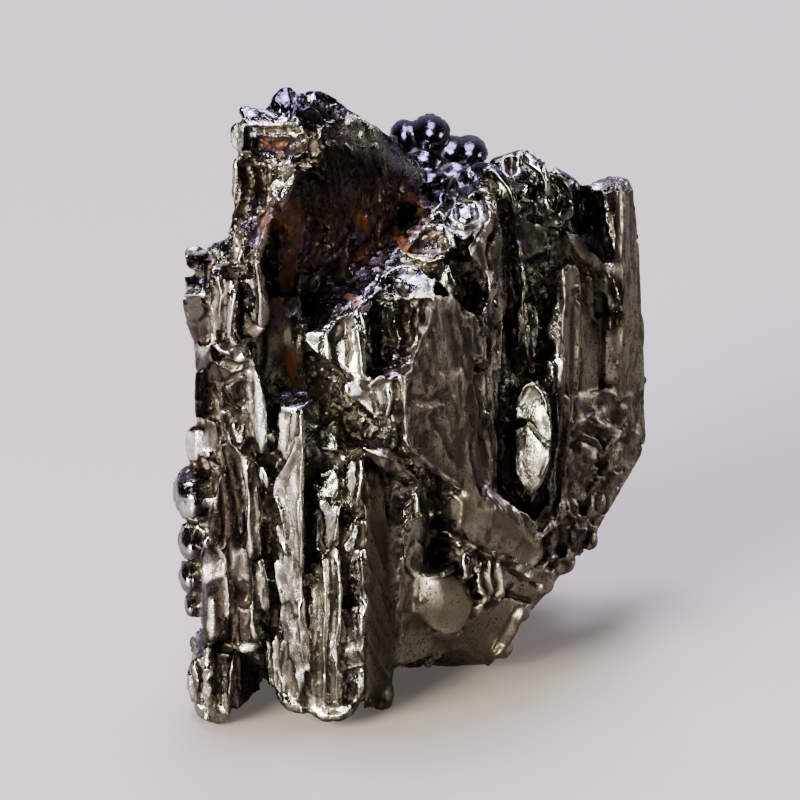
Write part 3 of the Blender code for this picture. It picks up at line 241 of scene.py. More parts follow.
TRUNK = {
    "trunk": Plate(8, "222,470,1.7 250,480,2 258,500,2.3 266,500,2.8 267,620,2.8 256,648,2.4 "
        "228,640,1.5 206,640,1.5 203,612,1.8 204,560,1.8 212,520,1.7", level=True),
    "boss": Plate(4, "204,560,2.8 222,553,1.9 228,560,1.6 228,582,1.4 214,588,1.6 202,580,2.6 / "
        "202,592,2.8 216,590,1.9 218,610,1.7 208,618,2.2 200,606,3"),
    "trunk_rib_1": Ridge(0.25, "214,604,1.8 215,625,1.8 214,640,1.9"),
    "trunk_rib_2": Ridge(0.3, "224,545,1.9 228,565,1.6 231,590,1.5 231,612,1.6 / 253,560,1.5 "
        "257,585,1.5 254,605,1.5 254,630,1.4 260,642,1.5"),
    "trunk_rib_4": Ridge(0.45, "262,560,1.8 266,585,1.6 266,605,1.6"),
    "trunk_block": Plate(5, "240,604,1.7 252,606,1.3 258,640,1.1 258,650,1.3 240,652,1.5"),
    "trunk_wedge": Plate(4, "236,548,2 250,545,1.6 255,560,1.4 252,582,1.5 240,580,1.8"),
}
LEFT_FOOT = {
    "left_foot": Plate(7, "188,668,3.6 196,656,2.4 212,650,1.6 236,650,1.2 238,680,1 232,712,1.6 "
        "222,724,2 206,718,2.4 192,703,3 186,685,3.6", level=True),
    "foot_rib_1": Ridge(0.4, "196,662,2.4 199,680,2 199,700,2.2"),
    "foot_rib_2": Ridge(0.5, "211,645,1.6 211,665,1.2 209,690,1.2 212,708,1.6"),
    "foot_rib_3": Ridge(0.3, "236,648,1.2 232,670,0.8 231,695,0.8 229,710,1.2"),
    "left_heel": Plate(5, "236,655,1.6 262,648,6 268,668,6.5 262,690,6.5 246,700,4.6 "
        "234,712,2.2", level=True),
}
for title, forms in (("cap", CAP), ("hood", HOOD), ("waist", WAIST), ("bulges", BULGES),
                     ("trunk", TRUNK), ("left foot", LEFT_FOOT)):
    add_zone(title, forms)

# %% [markdown]
# ## The flutes
#
# Three upright flutes stand beside the pillar, split from it by a dark cleft.

# %% Flutes
CLEFT = {
    "cleft_wall": Plate(7, "262,296,7 304,294,8.5 310,395,6.5 276,395,5 258,380,4.5"),
    "cleft_floor": Plate(6, "255,400,4 285,400,4 285,690,3.2 262,680,3.8", level=True),
}
CENTRAL_FLUTE = {
    "central_cap": Plate(8, "284,391,3.6 310,390,3.4 313,399,2 304,411,0.6 280,411,1.2 "
        "275,402,2.4"),
    "central_upper": Plate(7, "280,411,1.6 303,411,0.5 305,440,0.3 305,470,0.2 290,468,0.7 "
        "277,450,1.7"),
    "central_mid": Plate(7, "276,480,1.7 288,466,0.8 305,455,0.2 306,520,0 304,600,0.1 280,600,1.4 "
        "276,540,1.8"),
    "central_low": Plate(7, "279,600,1.6 302,600,0.3 306,640,0.4 305,690,0.6 302,706,1 290,702,1.4 "
        "280,694,1.8 275,670,2.2", level=True),
    "central_edge": Ridge(0.3, "304,412,0.5 304,460,0.2 302,500,0 303,560,0.1"),
    "central_twin": Ridge(0.25, "303,600,0.3 305,620,0.2 309,650,0.4 311,668,0.6"),
    "central_left": Ridge(0.3, "280,500,1.5 287,530,1.1 291,548,0.9 285,565,1.3"),
    "central_side": Plate(5, "263,640,3 276,632,1.9 278,690,1.8 268,684,2.6 "
        "262,668,3.2", level=True),
    "flute_valley": Plate(6, "300,398,4.2 322,400,4.6 322,700,2 300,700,2", level=True),
    "valley_fill": Plate(4, "303,516,2.2 322,512,2 322,700,1 303,700,1.2", level=True),
}
RIGHT_FLUTE = {
    "right_top": Plate(6, "320,424,3.2 338,417,3.8 341,430,3.2 340,452,2.4 320,450,2.4"),
    "right_knob": Plate(5, "318,472,2.2 336,466,1.8 341,478,1.4 340,498,1.2 326,500,1.4"),
    "right_mid": Plate(7, "312,478,2.2 320,500,1.2 340,505,1 341,560,0.6 316,560,1.2 311,520,1.8"),
    "right_low": Plate(8, "308,560,1.4 320,550,0.8 344,575,0.4 345,640,0.3 344,700,0.6 338,714,1 "
        "322,712,1 310,706,1.2 308,640,0.8", level=True),
    "twin_a": Ridge(0.35, "325,552,0.8 326,580,0.4 328,620,0.1 326,660,0.2 327,700,0.5"),
    "twin_b": Ridge(0.3, "338,556,0.8 341,590,0.4 340,635,0.2 333,650,0.2 337,668,0.2 338,700,0.6"),
    "small_square": Plate(3, "304,572,0.8 316,570,0.4 318,580,0.4 308,585,0.8"),
}
CORNER_FLUTE = {
    "corner_upper": Plate(7, "344,460,2.2 364,455,1.6 366,480,1.2 362,505,1 345,508,1.5 "
        "343,480,1.9"),
    "corner_edge": Ridge(0.35, "361,460,1.5 360,480,1.1 356,503,1"),
    "corner_wedge": Plate(6, "342,520,2 358,514,1.2 360,530,0.8 354,550,0.6 345,548,1.2"),
    "corner_mid": Plate(7, "343,555,1.6 362,545,0.8 366,590,0.4 362,600,0.6 344,595,1.4"),
    "corner_facet": Plate(7, "344,608,1 366,598,0.3 367,625,0 362,636,0 345,640,0.7", level=True),
    "corner_low": Plate(8, "345,640,0.9 366,636,0 367,665,0 344,668,0.9", level=True),
    "corner_toe": Plate(8, "342,675,1.4 366,668,0.2 366,690,0.3 358,702,0.8 "
        "345,700,1.4", level=True),
    "corner_side": Plate(8, "366,500,1.2 384,500,4.2 390,560,5 393,620,5 397,660,5.2 392,686,6 "
        "378,704,4 362,702,1 367,600,0.2", level=True),
    "corner_shoulder": Plate(7, "362,462,1.6 380,470,4 386,505,4.4 366,520,1.4"),
    "small_foot": Lump("383,693,6,13,16,2.4"),
    "corner_toe_round": Plate(6, "362,690,1.6 386,684,4.6 392,700,5.4 380,712,4.6 364,708,2.2"),
    "right_foot_roll": Ridge(0.5, "314,706,1.3 326,713,0.9 340,714,0.7 354,703,1"),
    "central_foot_roll": Ridge(0.6, "283,692,2 292,701,1.5 304,706,1.3"),
    "left_foot_round": Lump("214,702,2.6,20,18,1.6"),
}
RECESS_STRIP = {
    "recess_strip": Plate(6, "394,492,7 414,494,6.5 418,540,6 421,560,6.5 413,600,6.5 405,612,7 "
        "397,605,7 392,560,7"),
    "strip_edge": Ridge(0.3, "415,496,6.2 417,520,5.8 415,538,5.8 421,545,5.8 424,560,6.2"),
}
LENS_LEDGE = {
    "lens_top": Plate(4, "360,444,2.6 368,436,3.4 380,437,3.2 390,444,2.2 386,449,1.8 366,449,1.8"),
    "lens_body": Plate(5, "360,447,2 388,446,1.2 406,458,1.8 427,482,3.4 408,481,2.6 384,470,1.8 "
        "366,456,2"),
}
for title, forms in (("cleft", CLEFT), ("central flute", CENTRAL_FLUTE),
                     ("right flute", RIGHT_FLUTE), ("corner flute", CORNER_FLUTE),
                     ("recess strip", RECESS_STRIP), ("lens ledge", LENS_LEDGE)):
    add_zone(title, forms)

# %% [markdown]
# ## The leaning ridge
#
# The ridge leans over the flutes, with a beak on its left, a scoop in its face
# and a smooth flank on its right.

# %% Leaning ridge
FRONT_RIDGE = {
    "beak_top": Plate(5, "306,324,6 316,304,8.5 338,300,8 341,321,3 331,335,2.2 305,338,2.8"),
    "beak_face": Plate(6, "305,340,2.8 331,336,2 334,366,1.2 322,358,1.7 310,350,2.6"),
    "beak_back": Plate(7, "312,330,4.5 350,320,4.5 350,375,3.6 330,366,3"),
    "ridge_front": Plate(7, "341,322,3.2 358,308,3.4 362,318,2.4 365,345,1.6 366,380,0.8 "
        "352,378,1.2 340,368,1.6 336,350,2.2"),
    "front_edge": Ridge(0.4, "359,312,2.6 363,340,1.5 364,372,0.7"),
    "ridge_scoop": Plate(8, "366,310,4.4 390,300,5.2 420,302,4.2 424,330,3.6 412,366,2.8 "
        "372,372,3"),
    "ridge_crest": Plate(7, "366,303,4.6 380,283,5.4 398,270,6.6 420,270,6 436,282,4.8 432,300,3.6 "
        "400,300,4.2 372,304,4"),
    "crest_edge": Ridge(0.4, "342,320,3 358,308,3.4 372,298,4.2 384,280,5.2 398,271,6.3 416,270,6"),
    "scoop_rim": Ridge(0.4, "428,312,2.8 430,322,2.2 424,334,1.6 416,350,1.2 412,372,0.7 "
        "404,378,0.5 392,376,0.5 372,382,0.8"),
    "hem": Plate(6, "368,380,0.9 404,376,0.3 414,374,0.5 408,392,0.3 406,402,0.6 388,420,1 "
        "372,414,1.2 352,394,1.6 346,382,1.6"),
    "hem_blocks": Plate(4, "345,382,1.4 358,380,0.9 366,392,0.7 362,400,0.9 350,394,1.4 / "
        "382,386,0.6 392,384,0.2 394,402,0.1 388,420,0.4 382,404,0.7"),
    "hem_rib": Ridge(0.45, "405,378,0.3 405,400,0.2 406,425,0.5 409,445,0.8 417,462,1.8"),
    "ridge_flank": Plate(9, "434,296,3.6 428,330,2.2 412,376,0.6 406,400,0.5 408,440,0.9 "
        "420,462,1.9 442,480,3.2 462,490,4.4 492,500,6.2 496,420,8.2 492,340,8.8 470,310,6.8 "
        "450,296,5"),
}
UPPER_RIDGE = {
    "upper_lip": Plate(5, "406,254,8.6 418,240,9.2 440,224,9.8 452,236,8.6 450,256,7.8 "
        "430,262,7.8"),
    "lip_edge": Ridge(0.4, "406,252,8.6 420,240,9 436,226,9.4 440,222,9.6"),
    "lip_edge_2": Ridge(0.35, "437,233,8.8 447,237,8.2 451,248,7.8"),
    "lip_ledge": Plate(4, "404,256,8.2 420,253,7.6 446,256,7.2 440,264,7.4 424,264,7.6"),
    "lavender_hump": Plate(6, "440,222,10.4 456,204,11.6 478,202,11.6 484,222,10 478,236,9 "
        "458,240,8.8 444,236,9"),
    "crest_knob": Plate(6, "482,195,11.6 496,192,12.4 500,205,11.2 496,218,9.8 485,216,9.8"),
    "knob_face": Plate(7, "484,222,9.6 500,214,10.6 504,240,10.4 500,275,9.6 492,282,8.6 470,258,8 "
        "466,250,8.2 476,238,8.6"),
    "alcove_floor": Plate(6, "448,258,9.6 492,268,10.6 492,330,9.6 456,330,8.4"),
    "alcove_rim": Ridge(0.35, "488,274,8.6 490,290,8.3 487,304,8.2 480,316,8 484,330,8"),
    "rim_wall": Plate(7, "490,275,8.8 503,262,10.2 504,330,10 497,420,8.8 484,420,8 482,330,8.2"),
    "alcove_lip": Plate(5, "441,264,6.8 449,266,6.2 456,288,5.6 452,300,5.2 438,286,5.6"),
}
TOP_LUMPS = {
    "ear_ridge": Plate(6, "476,172,14.5 484,168,14.2 497,178,13.2 508,190,12.6 518,206,12.2 "
        "514,222,12.2 500,214,12.6 488,190,13.6"),
    "ear_curl": Ridge(0.5, "478,170,14.4 488,171,13.6 499,180,12.8 508,193,12.2 514,210,12"),
    "brow": Plate(7, "484,168,16 492,159,17 508,158,17 516,151,17.6 526,150,17.6 534,155,17 "
        "545,162,17 550,172,16.5 540,190,15 520,185,14.5 500,180,14.5"),
    "brow_curl": Ridge(0.45, "526,160,14.8 540,170,14.2 545,186,14 555,198,14.2 550,210,13.8"),
    "cheek": Plate(6, "532,200,13.6 546,199,13.2 551,212,13.2 546,220,13.6 533,218,13.8"),
    "ear_rim": Ridge(0.5, "552,178,15.6 563,190,15.4 566,205,15 560,216,14.6"),
    "ear_back": Plate(8, "548,172,17 560,176,17 572,190,17 574,215,16.5 560,230,15.5 545,225,14.5 "
        "520,225,13.6 518,200,14"),
    "rear_bump": Plate(6, "548,170,20 556,166,21 568,172,21 580,181,20.5 582,192,20 560,190,18"),
    "pendants": Lump("592,228,20.4,5,9,0.9 583,208,20.2,7,7,0.9"),
    "mid_face": Plate(7, "512,226,13.4 540,222,14.2 549,236,14.2 544,250,13.8 530,262,13 "
        "516,260,12.6"),
    "first_rib": Plate(6, "504,222,12.4 516,225,12.8 522,262,12.4 524,300,11.8 522,330,11.4 "
        "518,350,11.2 510,300,11.6 503,262,11.8"),
    "thin_lip": Ridge(0.35, "515,250,12.2 520,270,11.8 524,290,11.6 520,300,11.6"),
    "second_rib": Plate(5, "520,306,12.4 530,300,13 539,312,13.2 538,345,12.6 536,375,12 "
        "528,376,11.8 521,345,12"),
    "nubs": Plate(4, "543,322,13.6 553,301,13.6 560,320,12.8 558,340,12.8 546,342,13.2 / "
        "540,380,12.8 545,358,12.8 554,364,12.2 556,384,12 552,404,11.8 546,396,12.2"),
    "slab_2_face": Plate(5, "553,270,14.4 564,265,13 565,300,12.6 563,345,12.4 559,345,13 "
        "554,300,14"),
    "slab_2": Plate(9, "556,271,14 566,263,14.4 574,266,15.2 578,285,15.8 578,345,15.4 "
        "574,400,14.6 566,450,13.4 560,480,12.6 552,500,11.8 546,470,11.6 550,420,12 558,360,12.8 "
        "562,310,13.2"),
    "slab_seams": Ridge(0.3, "574,290,15.2 573,380,14.6 567,430,13.6 563,470,12.6 565,500,12.2 "
        "560,520,11.4 545,532,9.8 535,540,8.6 / 562,360,12.8 560,400,12.4 557,440,11.8 "
        "552,470,11.4 548,500,11.2"),
    "leaf_upper": Plate(5, "513,404,10.8 519,390,10.8 530,381,10.8 542,386,10.4 550,402,10 "
        "552,422,9.6 540,422,9.5 513,420,10.2"),
    "leaf_lower": Plate(5, "511,428,10.2 524,424,9.9 536,430,9.6 552,423,9.5 553,442,9.3 "
        "550,462,9.1 543,482,8.8 531,498,8.8 524,496,9 516,478,9.4 512,455,9.9"),
    "leaf_bed": Plate(5, "508,384,12.6 530,378,13 558,384,13.4 556,460,11.4 532,506,10 512,480,11"),
    "groove_floor": Plate(9, "500,262,15 556,262,18 560,400,15 548,505,12.6 500,505,11.6 "
        "496,330,12"),
    "wire": Ridge(0.25, "484,405,8 483,425,7.8 484,440,7.8"),
}
for title, forms in (("front ridge", FRONT_RIDGE), ("upper ridge", UPPER_RIDGE),
                     ("top lumps", TOP_LUMPS)):
    add_zone(title, forms)

# %% [markdown]
# ## Right side and peak
#
# Thin slabs step back to the right. The peak stands behind the pillar, and a
# rusty terrace slopes between it and the ridge.

# %% Right side and peak
RIGHT_SIDE = {
    "shoulder": Plate(10, "552,222,17.6 584,238,18 602,262,19 604,300,19 600,400,18 578,400,16 "
        "576,330,16.8 560,262,17"),
    "shoulder_lobes": Plate(4, "562,232,16.9 578,236,17 592,248,17.4 602,262,18 601,278,18.2 "
        "588,272,17.4 572,262,16.8 / 580,276,17.2 592,276,17.6 596,300,17.8 588,310,17.2 "
        "580,300,17"),
    "pit_wall": Plate(6, "572,188,21.5 602,188,22 614,240,21.5 610,285,20.5 580,245,20"),
    "slab_cap": Plate(5, "586,185,20.6 600,177,22 618,174,22.8 630,178,23 634,188,22.8 "
        "615,188,20.2 592,195,20"),
    "slab_front": Plate(5, "600,194,19.9 621,188,18.2 623,215,18 621,262,17.9 613,262,18.6 "
        "606,215,19.5"),
    "tall_slab": Plate(8, "620,188,19 634,186,22.5 637,215,22.8 640,240,22.8 640,300,22.6 "
        "645,330,22.4 645,350,22.2 643,375,22 648,400,22 630,400,19.6 620,380,18.8 621,300,18.6 "
        "618,245,18.6"),
    "strip_fill": Plate(3, "594,262,18.9 622,262,18.7 622,402,18.5 594,402,18.5"),
    "slab_nubs": Plate(4, "608,276,18.4 614,278,17.6 621,300,17.6 618,306,17.8 610,294,18.2 / "
        "606,312,18.2 618,308,17.6 620,324,17.6 612,332,17.8 607,328,18.2"),
    "right_flank": Plate(9, "574,396,15.6 600,392,18 622,385,18.8 645,380,22 648,420,22.4 "
        "650,440,22.6 645,456,22.2 636,466,21.4 622,478,20 622,490,19.8 618,500,19.2 606,516,18.2 "
        "598,530,17.2 588,550,15.8 570,570,14.2 556,582,13.2 548,560,11.8 552,530,11.8 "
        "560,500,12.4 568,450,13.8"),
    "flank_plates": Plate(3, "572,452,14.2 584,440,14.6 600,446,15.8 592,466,15 578,472,14.2 / "
        "594,424,16.2 612,418,17.2 622,432,18 608,446,17 / 618,404,18.6 634,400,20 638,424,20.6 "
        "624,428,19.2"),
    "flank_veins": Ridge(0.3, "572,446,14.4 582,436,14.8 596,442,15.6 604,456,16.6 / 570,470,14 "
        "580,478,14.4 596,470,15.6 / 566,512,12.6 580,518,14 596,530,16 / 604,402,17.6 600,430,17 "
        "610,444,17.4 606,470,17.2"),
}
LOWER_RIGHT = {
    "tongue": Plate(5, "455,500,5.2 466,492,5 484,494,5.2 500,504,5.6 516,516,6.4 532,530,7.2 "
        "540,545,7.8 539,556,8.2 533,563,8.4 520,560,8 500,552,7 488,545,6.4 468,540,5.8 "
        "458,522,5.4"),
    "tongue_top": Ridge(0.5, "490,496,5.3 506,508,5.9 522,522,6.7 535,540,7.5"),
    "curl": Ridge(0.35, "487,480,6.4 488,492,5.8 498,500,5.6"),
    "recess_ledge": Plate(4, "438,530,6.6 456,533,6 460,540,6.2 442,538,6.8"),
    "recess_roof": Plate(4, "445,500,6 458,490,5.2 462,512,5.2 456,520,5.6 440,516,6.4"),
    "recess_bead": Lump("433,512,6.8,4,8,0.7"),
    "recess_floor": Plate(6, "395,480,8.5 470,480,8 480,600,9 430,660,12 395,660,11"),
    "smooth_knob": Plate(6, "421,576,6.8 436,578,6.5 448,573,6.9 460,577,7 470,590,6.9 474,602,6.8 "
        "468,618,6.4 460,631,6.1 448,635,5.9 432,628,5.7 424,620,5.7 411,610,6.1 412,600,6.2 "
        "421,594,6.1"),
    "knob_dome": Lump("446,606,6.5,25,27,0.75"),
    "knob_glint": Lump("421,597,5.6,6,5,0.6"),
    "knob_top": Plate(5, "424,562,8 452,560,8.2 450,572,5.4 424,573,5.4"),
    "facet_a": Plate(5, "486,556,7.4 508,560,8.4 512,572,8.6 506,592,8.2 494,602,7.4 480,600,6.8 "
        "478,576,7"),
    "facet_b": Plate(4, "462,548,7.2 478,552,7.4 476,575,7 466,580,6.6 460,566,7"),
    "belly": Plate(9, "425,640,8.6 462,628,7.6 474,604,6.8 510,596,8.4 526,606,10.4 516,632,10.4 "
        "500,658,11.6 488,667,12.7 446,672,12.4 425,668,12.4", level=True),
    "belly_right": Plate(9, "508,560,8.6 540,566,10 560,578,12 545,592,12 532,606,11.2 "
        "520,626,10.8 506,600,8.8", level=True),
    "belly_left": Plate(7, "402,655,10 430,640,9 432,668,11.6 402,672,12", level=True),
    "grains": Lump("404,652,9.4,6,5,0.6 412,662,9.4,6,5,0.6 420,655,9.4,6,5,0.6 "
        "428,663,9.4,6,5,0.6 436,655,9.4,6,5,0.6 402,664,9.4,6,5,0.6"),
}
ROCKS = {
    "rocks": Lump("590,416,17,18,16,1.3 616,412,19.3,16,16,1.3 634,436,21.6,12,18,1.3 "
        "604,446,17.6,16,14,1.3 582,470,15.8,14,16,1.3 612,476,18.8,14,12,1.3 "
        "592,504,16.4,16,16,1.3 574,532,14.2,14,16,1.3 590,540,15.8,10,10,1.3 562,562,13,16,14,1.3 "
        "640,332,22.6,7,20,1.3 541,584,11.9,14,11,1.3 521,610,10.9,10,12,1.3 "
        "502,648,11.8,12,12,1.3"),
}
PEAK = {
    "peak_knob": Plate(6, "271,111,9.6 274,100,10.4 282,92,11 292,91,11.2 298,96,10.8 300,110,9.4 "
        "296,122,8.6 280,124,8.4 270,119,9"),
    "peak_crest": Plate(8, "298,98,11.4 310,94,12.2 322,94,12.6 336,101,12.8 348,110,13 "
        "342,126,11.2 322,130,10 302,126,9.6"),
    "peak_shelf": Plate(5, "239,117,9.4 241,110,9.8 247,108,9.8 257,113,9.4 269,114,9.2 "
        "270,122,8.8 246,125,8.8"),
    "peak_band": Plate(6, "247,124,9 301,121,8.2 303,133,7.8 252,135,8.6"),
    "peak_cheek": Plate(5, "232,134,9.8 237,125,9.6 246,127,8.8 249,140,8.5 244,157,8.8 "
        "234,150,9.6"),
    "peak_hollow": Plate(6, "246,136,9.6 304,134,9.2 304,160,9 262,162,9.4 246,156,9.8"),
    "peak_fill": Plate(6, "296,112,9.6 322,116,10.6 332,142,9.6 318,146,8.9 300,138,8.9"),
    "peak_tip": Plate(5, "303,147,8 312,138,7.5 320,144,7.4 322,164,7.3 305,161,7.9"),
    "peak_ledge": Plate(6, "278,161,9.2 321,160,8 322,169,7.2 302,178,6.9 282,169,7.9"),
    "peak_breast": Plate(6, "279,172,7.8 302,172,6.9 296,186,6.4 282,207,5.8 273,201,6.5 "
        "271,188,7.2"),
    "hollow_lip": Ridge(0.35, "252,157,9 266,164,8.4 284,164,7.8 304,158,7.7"),
    "peak_shaft": Plate(9, "240,160,9.8 280,164,9.2 276,200,8.2 274,225,6.4 250,230,6.6 "
        "232,238,8.4 236,205,9.2"),
    "shaft_rib": Ridge(0.45, "245,164,9.2 243,200,8.6 236,235,7.9"),
    "peak_blade": Plate(9, "322,105,12.5 345,109,13 365,120,14 392,139,16 424,178,18.5 418,205,17 "
        "372,216,14 330,212,12 318,170,8.6 322,140,9"),
    "peak_slope": Plate(8, "302,178,7.4 330,180,11 400,205,16 392,230,15 352,268,12.4 318,298,10.4 "
        "280,298,8.4 274,228,7.2 284,206,6.4"),
    "peak_drip": Lump("326,236,10.4,10,14,1.4"),
}
REAR_TERRACE = {
    "rear_shelf": Plate(4, "388,152,26 450,148,27 488,162,26 520,200,24 430,205,20 398,190,20"),
    "lobe_body": Plate(4, "396,142,26 430,130,27 470,150,26.5 486,167,25.5 472,194,22 420,198,22 "
        "400,172,24"),
    "lobes": Lump("404,140,26,17,21,2.4 430,132,26,20,18,2.6 452,150,25.4,18,14,2.2 "
        "470,152,26,19,17,2.6 424,158,24.6,24,16,2.4 456,172,23.6,22,13,2 430,180,22,18,11,1.6 "
        "412,176,22.6,12,10,1.4 474,176,22,13,10,1.4"),
    "terrace": Plate(9, "306,300,9.5 360,262,13 400,215,18 440,190,21 490,185,20 500,260,13 "
        "440,270,8.5 380,296,7 340,320,6"),
    "terrace_plates": Plate(3, "362,268,11.6 374,250,13.2 386,244,14.2 390,252,13.4 374,268,11.8 / "
        "396,240,14.2 410,226,15.8 418,232,15 406,248,13.4 / 308,268,9.4 318,258,10.4 326,268,9.9 "
        "316,280,8.9 / 338,296,9.2 352,284,10.2 362,290,9.6 350,304,8.4 / 418,208,17.6 "
        "434,198,18.6 446,204,17.6 432,214,16.6 / 455,190,19.2 472,184,19.4 482,192,18 "
        "468,200,17.2"),
    "terrace_beads": Lump("296,300,8.7,7,8,0.8 330,282,10,8,6,0.8 352,268,11.7,7,7,0.8 "
        "380,278,9.8,8,6,0.8 404,262,10.8,9,6,0.8 392,222,16.2,8,6,0.8 288,232,7.3,7,8,0.8 "
        "290,318,7.9,6,9,0.7"),
    "cleft_seam": Ridge(0.3, "303,268,8.6 301,300,8.4 303,325,7.8 300,352,7.2 296,380,6.7"),
    "cleft_blocks": Plate(3, "282,362,6.6 290,358,6.5 292,376,6.1 284,380,6.1 / 294,352,7 "
        "303,350,7.2 302,370,6.6 295,372,6.4"),
    "cleft_back": Plate(3, "258,212,9.4 312,212,10.5 312,304,9.6 258,300,8.4"),
}
for title, forms in (("right side", RIGHT_SIDE), ("lower right", LOWER_RIGHT), ("rocks", ROCKS),
                     ("peak", PEAK), ("rear terrace", REAR_TERRACE)):
    add_zone(title, forms)

# %% [markdown]
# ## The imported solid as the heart
#
# The hidden middle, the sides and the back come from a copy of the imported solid.
# Its front is sunk a little, so that the sharper forms there stand clear of it.

# %% Copy the solid and sink its front
LEFT_WALL = -14.7           # the solid's left side goes no further out than this, mm
FRONT_SINK = 0.35           # how far the solid's front goes under the sharp forms, mm


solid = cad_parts["meteorite"]
heart = bmesh.new()
heart.from_mesh(solid.data)
bmesh.ops.remove_doubles(heart, verts=heart.verts, dist=1e-7)
bmesh.ops.scale(heart, vec=Vector((1, 1, 1)) / MM, verts=heart.verts)
heart.normal_update()
for vert in heart.verts:
    vert.co.x = max(vert.co.x, LEFT_WALL)
    faces_front = max(0.0, -vert.normal.dot(SIGHT))
    vert.co -= vert.normal * FRONT_SINK * min(1.0, 2 * faces_front)
print("heart:", len(heart.verts), "vertices,", len(heart.faces), "faces")

# %% [markdown]
# ## One fused skin
#
# Voxel remeshing wraps all the overlapping forms in one closed skin. A short
# smooth takes off the stair steps of the cells and rounds the edges, as etching
# and tumbling did.

# %% Fuse everything
SKIN_STEP = 0.12
SKIN_SMOOTHING = 5          # rounds of smoothing
SMOOTH_FACTOR = 0.5         # how far one round moves a vertex to its neighbours' middle
FLOOR_GAP = 0.15            # lowest point of any form, so that it rests on the floor, mm


def finished(piece, mesh_name):
    """Replace an object's mesh by what its modifiers make of it."""
    depsgraph = bpy.context.evaluated_depsgraph_get()
    mesh = bpy.data.meshes.new_from_object(piece.evaluated_get(depsgraph))
    mesh.name = mesh_name
    piece.modifiers.clear()
    piece.data = mesh
    return mesh


def add_smoothing(piece, name, rounds, group=""):
    """Add a Smooth modifier, only within the vertex group where one is given."""
    smoothing = piece.modifiers.new(name, "SMOOTH")
    smoothing.factor = SMOOTH_FACTOR
    smoothing.iterations = rounds
    smoothing.vertex_group = group


for forms in ZONES:
    for form in forms.values():
        ADDERS[type(form)](heart, form)
for vert in heart.verts:
    vert.co.z = max(vert.co.z, FLOOR_GAP)
bmesh.ops.recalc_face_normals(heart, faces=heart.faces)
skin_mesh = bpy.data.meshes.new("skin")
heart.to_mesh(skin_mesh)
heart.free()
skin = bpy.data.objects.new("nickel_iron_skin", skin_mesh)
bpy.context.scene.collection.objects.link(skin)
fuse = skin.modifiers.new("fuse", "REMESH")
fuse.mode = "VOXEL"
fuse.voxel_size = SKIN_STEP
add_smoothing(skin, "round", SKIN_SMOOTHING)
skin_mesh = finished(skin, "fused_skin")
print("fused skin:", len(skin_mesh.vertices), "vertices")

# %% [markdown]
# ## What faces the front
#
# Carved strokes are placed on the sheet, so each vertex needs to know whether it
# is on the surface that is seen square to the sheet, or hidden behind it. A grid
# of sheet squares keeps the depth of the frontmost vertex in each.

# %% Find the front surface
SEEN_SQUARE = 4.0           # side of a grid square, sheet units
SEEN_SLACK = 0.7            # how far behind the frontmost vertex still counts, mm


def seen_from_front(points, normals, past_edge=0.4):
    """How well each vertex is seen from the sheet, and how near the front it is, 0 to 1."""
    places = sheet_places(points)
    squares = (places / SEEN_SQUARE).astype(int)
    squares -= squares.min(axis=0)
    wide = squares[:, 0].max() + 1
    keys = squares[:, 1] * wide + squares[:, 0]
    depths = points @ np.array(SIGHT)
    nearest = np.full(keys.max() + 1, np.inf)
    np.minimum.at(nearest, keys, depths)
    facing = np.clip(-(normals @ np.array(SIGHT)) * 4 + past_edge, 0, 1)
    behind = depths - nearest[keys]
    near_front = np.clip((2 * SEEN_SLACK - behind) / SEEN_SLACK, 0, 1)
    return facing * near_front, near_front


def store(mesh, name, values):
    """Keep one number for each vertex as a named attribute."""
    attribute = mesh.attributes.new(name, "FLOAT", "POINT")
    attribute.data.foreach_set("value", np.ascontiguousarray(values, dtype=np.float32))


def read_vertices(mesh):
    """The places and normals of a mesh's vertices."""
    points = np.empty(len(mesh.vertices) * 3)
    mesh.vertices.foreach_get("co", points)
    normals = np.empty(len(mesh.vertices) * 3)
    mesh.vertex_normals.foreach_get("vector", normals)
    return points.reshape(-1, 3), normals.reshape(-1, 3)


points, normals = read_vertices(skin_mesh)
seen, near_front = seen_from_front(points, normals)
places = sheet_places(points)
print("seen from the front:", round(100 * float(seen.mean())), "% of the skin")

# %% [markdown]
# ## Strokes
#
# Details too small to be forms of their own are carved like strokes of a tool. A
# groove is cut along a path, a rib is raised along one to a crest, and a facet
# turns the part of the skin inside an outline to face another way. Widths are
# half widths in sheet units, depths and heights are in mm.

# %% The three strokes
Groove = namedtuple("Groove", "width depth path")
Rib = namedtuple("Rib", "width height path")
Facet = namedtuple("Facet", "faces slope path")
FACES = {"up": (0, -1), "down": (0, 1), "left": (-1, 0), "right": (1, 0),
         "up_left": (-0.7, -0.7), "up_right": (0.7, -0.7), "down_left": (-0.7, 0.7),
         "down_right": (0.7, 0.7)}


def path_distance(places, path):
    """How far each place is from a path on the sheet."""
    nearest = np.full(len(places), np.inf)
    for start, end in zip(path, path[1:]):
        start, along = np.array(start, float), np.subtract(end, start).astype(float)
        share = np.clip(((places - start) @ along) / max(along @ along, 1e-9), 0, 1)
        away = places - start - share[:, None] * along
        nearest = np.minimum(nearest, np.hypot(away[:, 0], away[:, 1]))
    return nearest


def inside(places, outline):
    """Whether each place is inside a closed outline on the sheet."""
    x, y = places[:, 0], places[:, 1]
    within = np.zeros(len(places), bool)
    for (x0, y0), (x1, y1) in zip(outline, outline[1:] + outline[:1]):
        if y0 != y1:
            crosses = (y0 > y) != (y1 > y)
            within ^= crosses & (x < (x1 - x0) * (y - y0) / (y1 - y0) + x0)
    return within


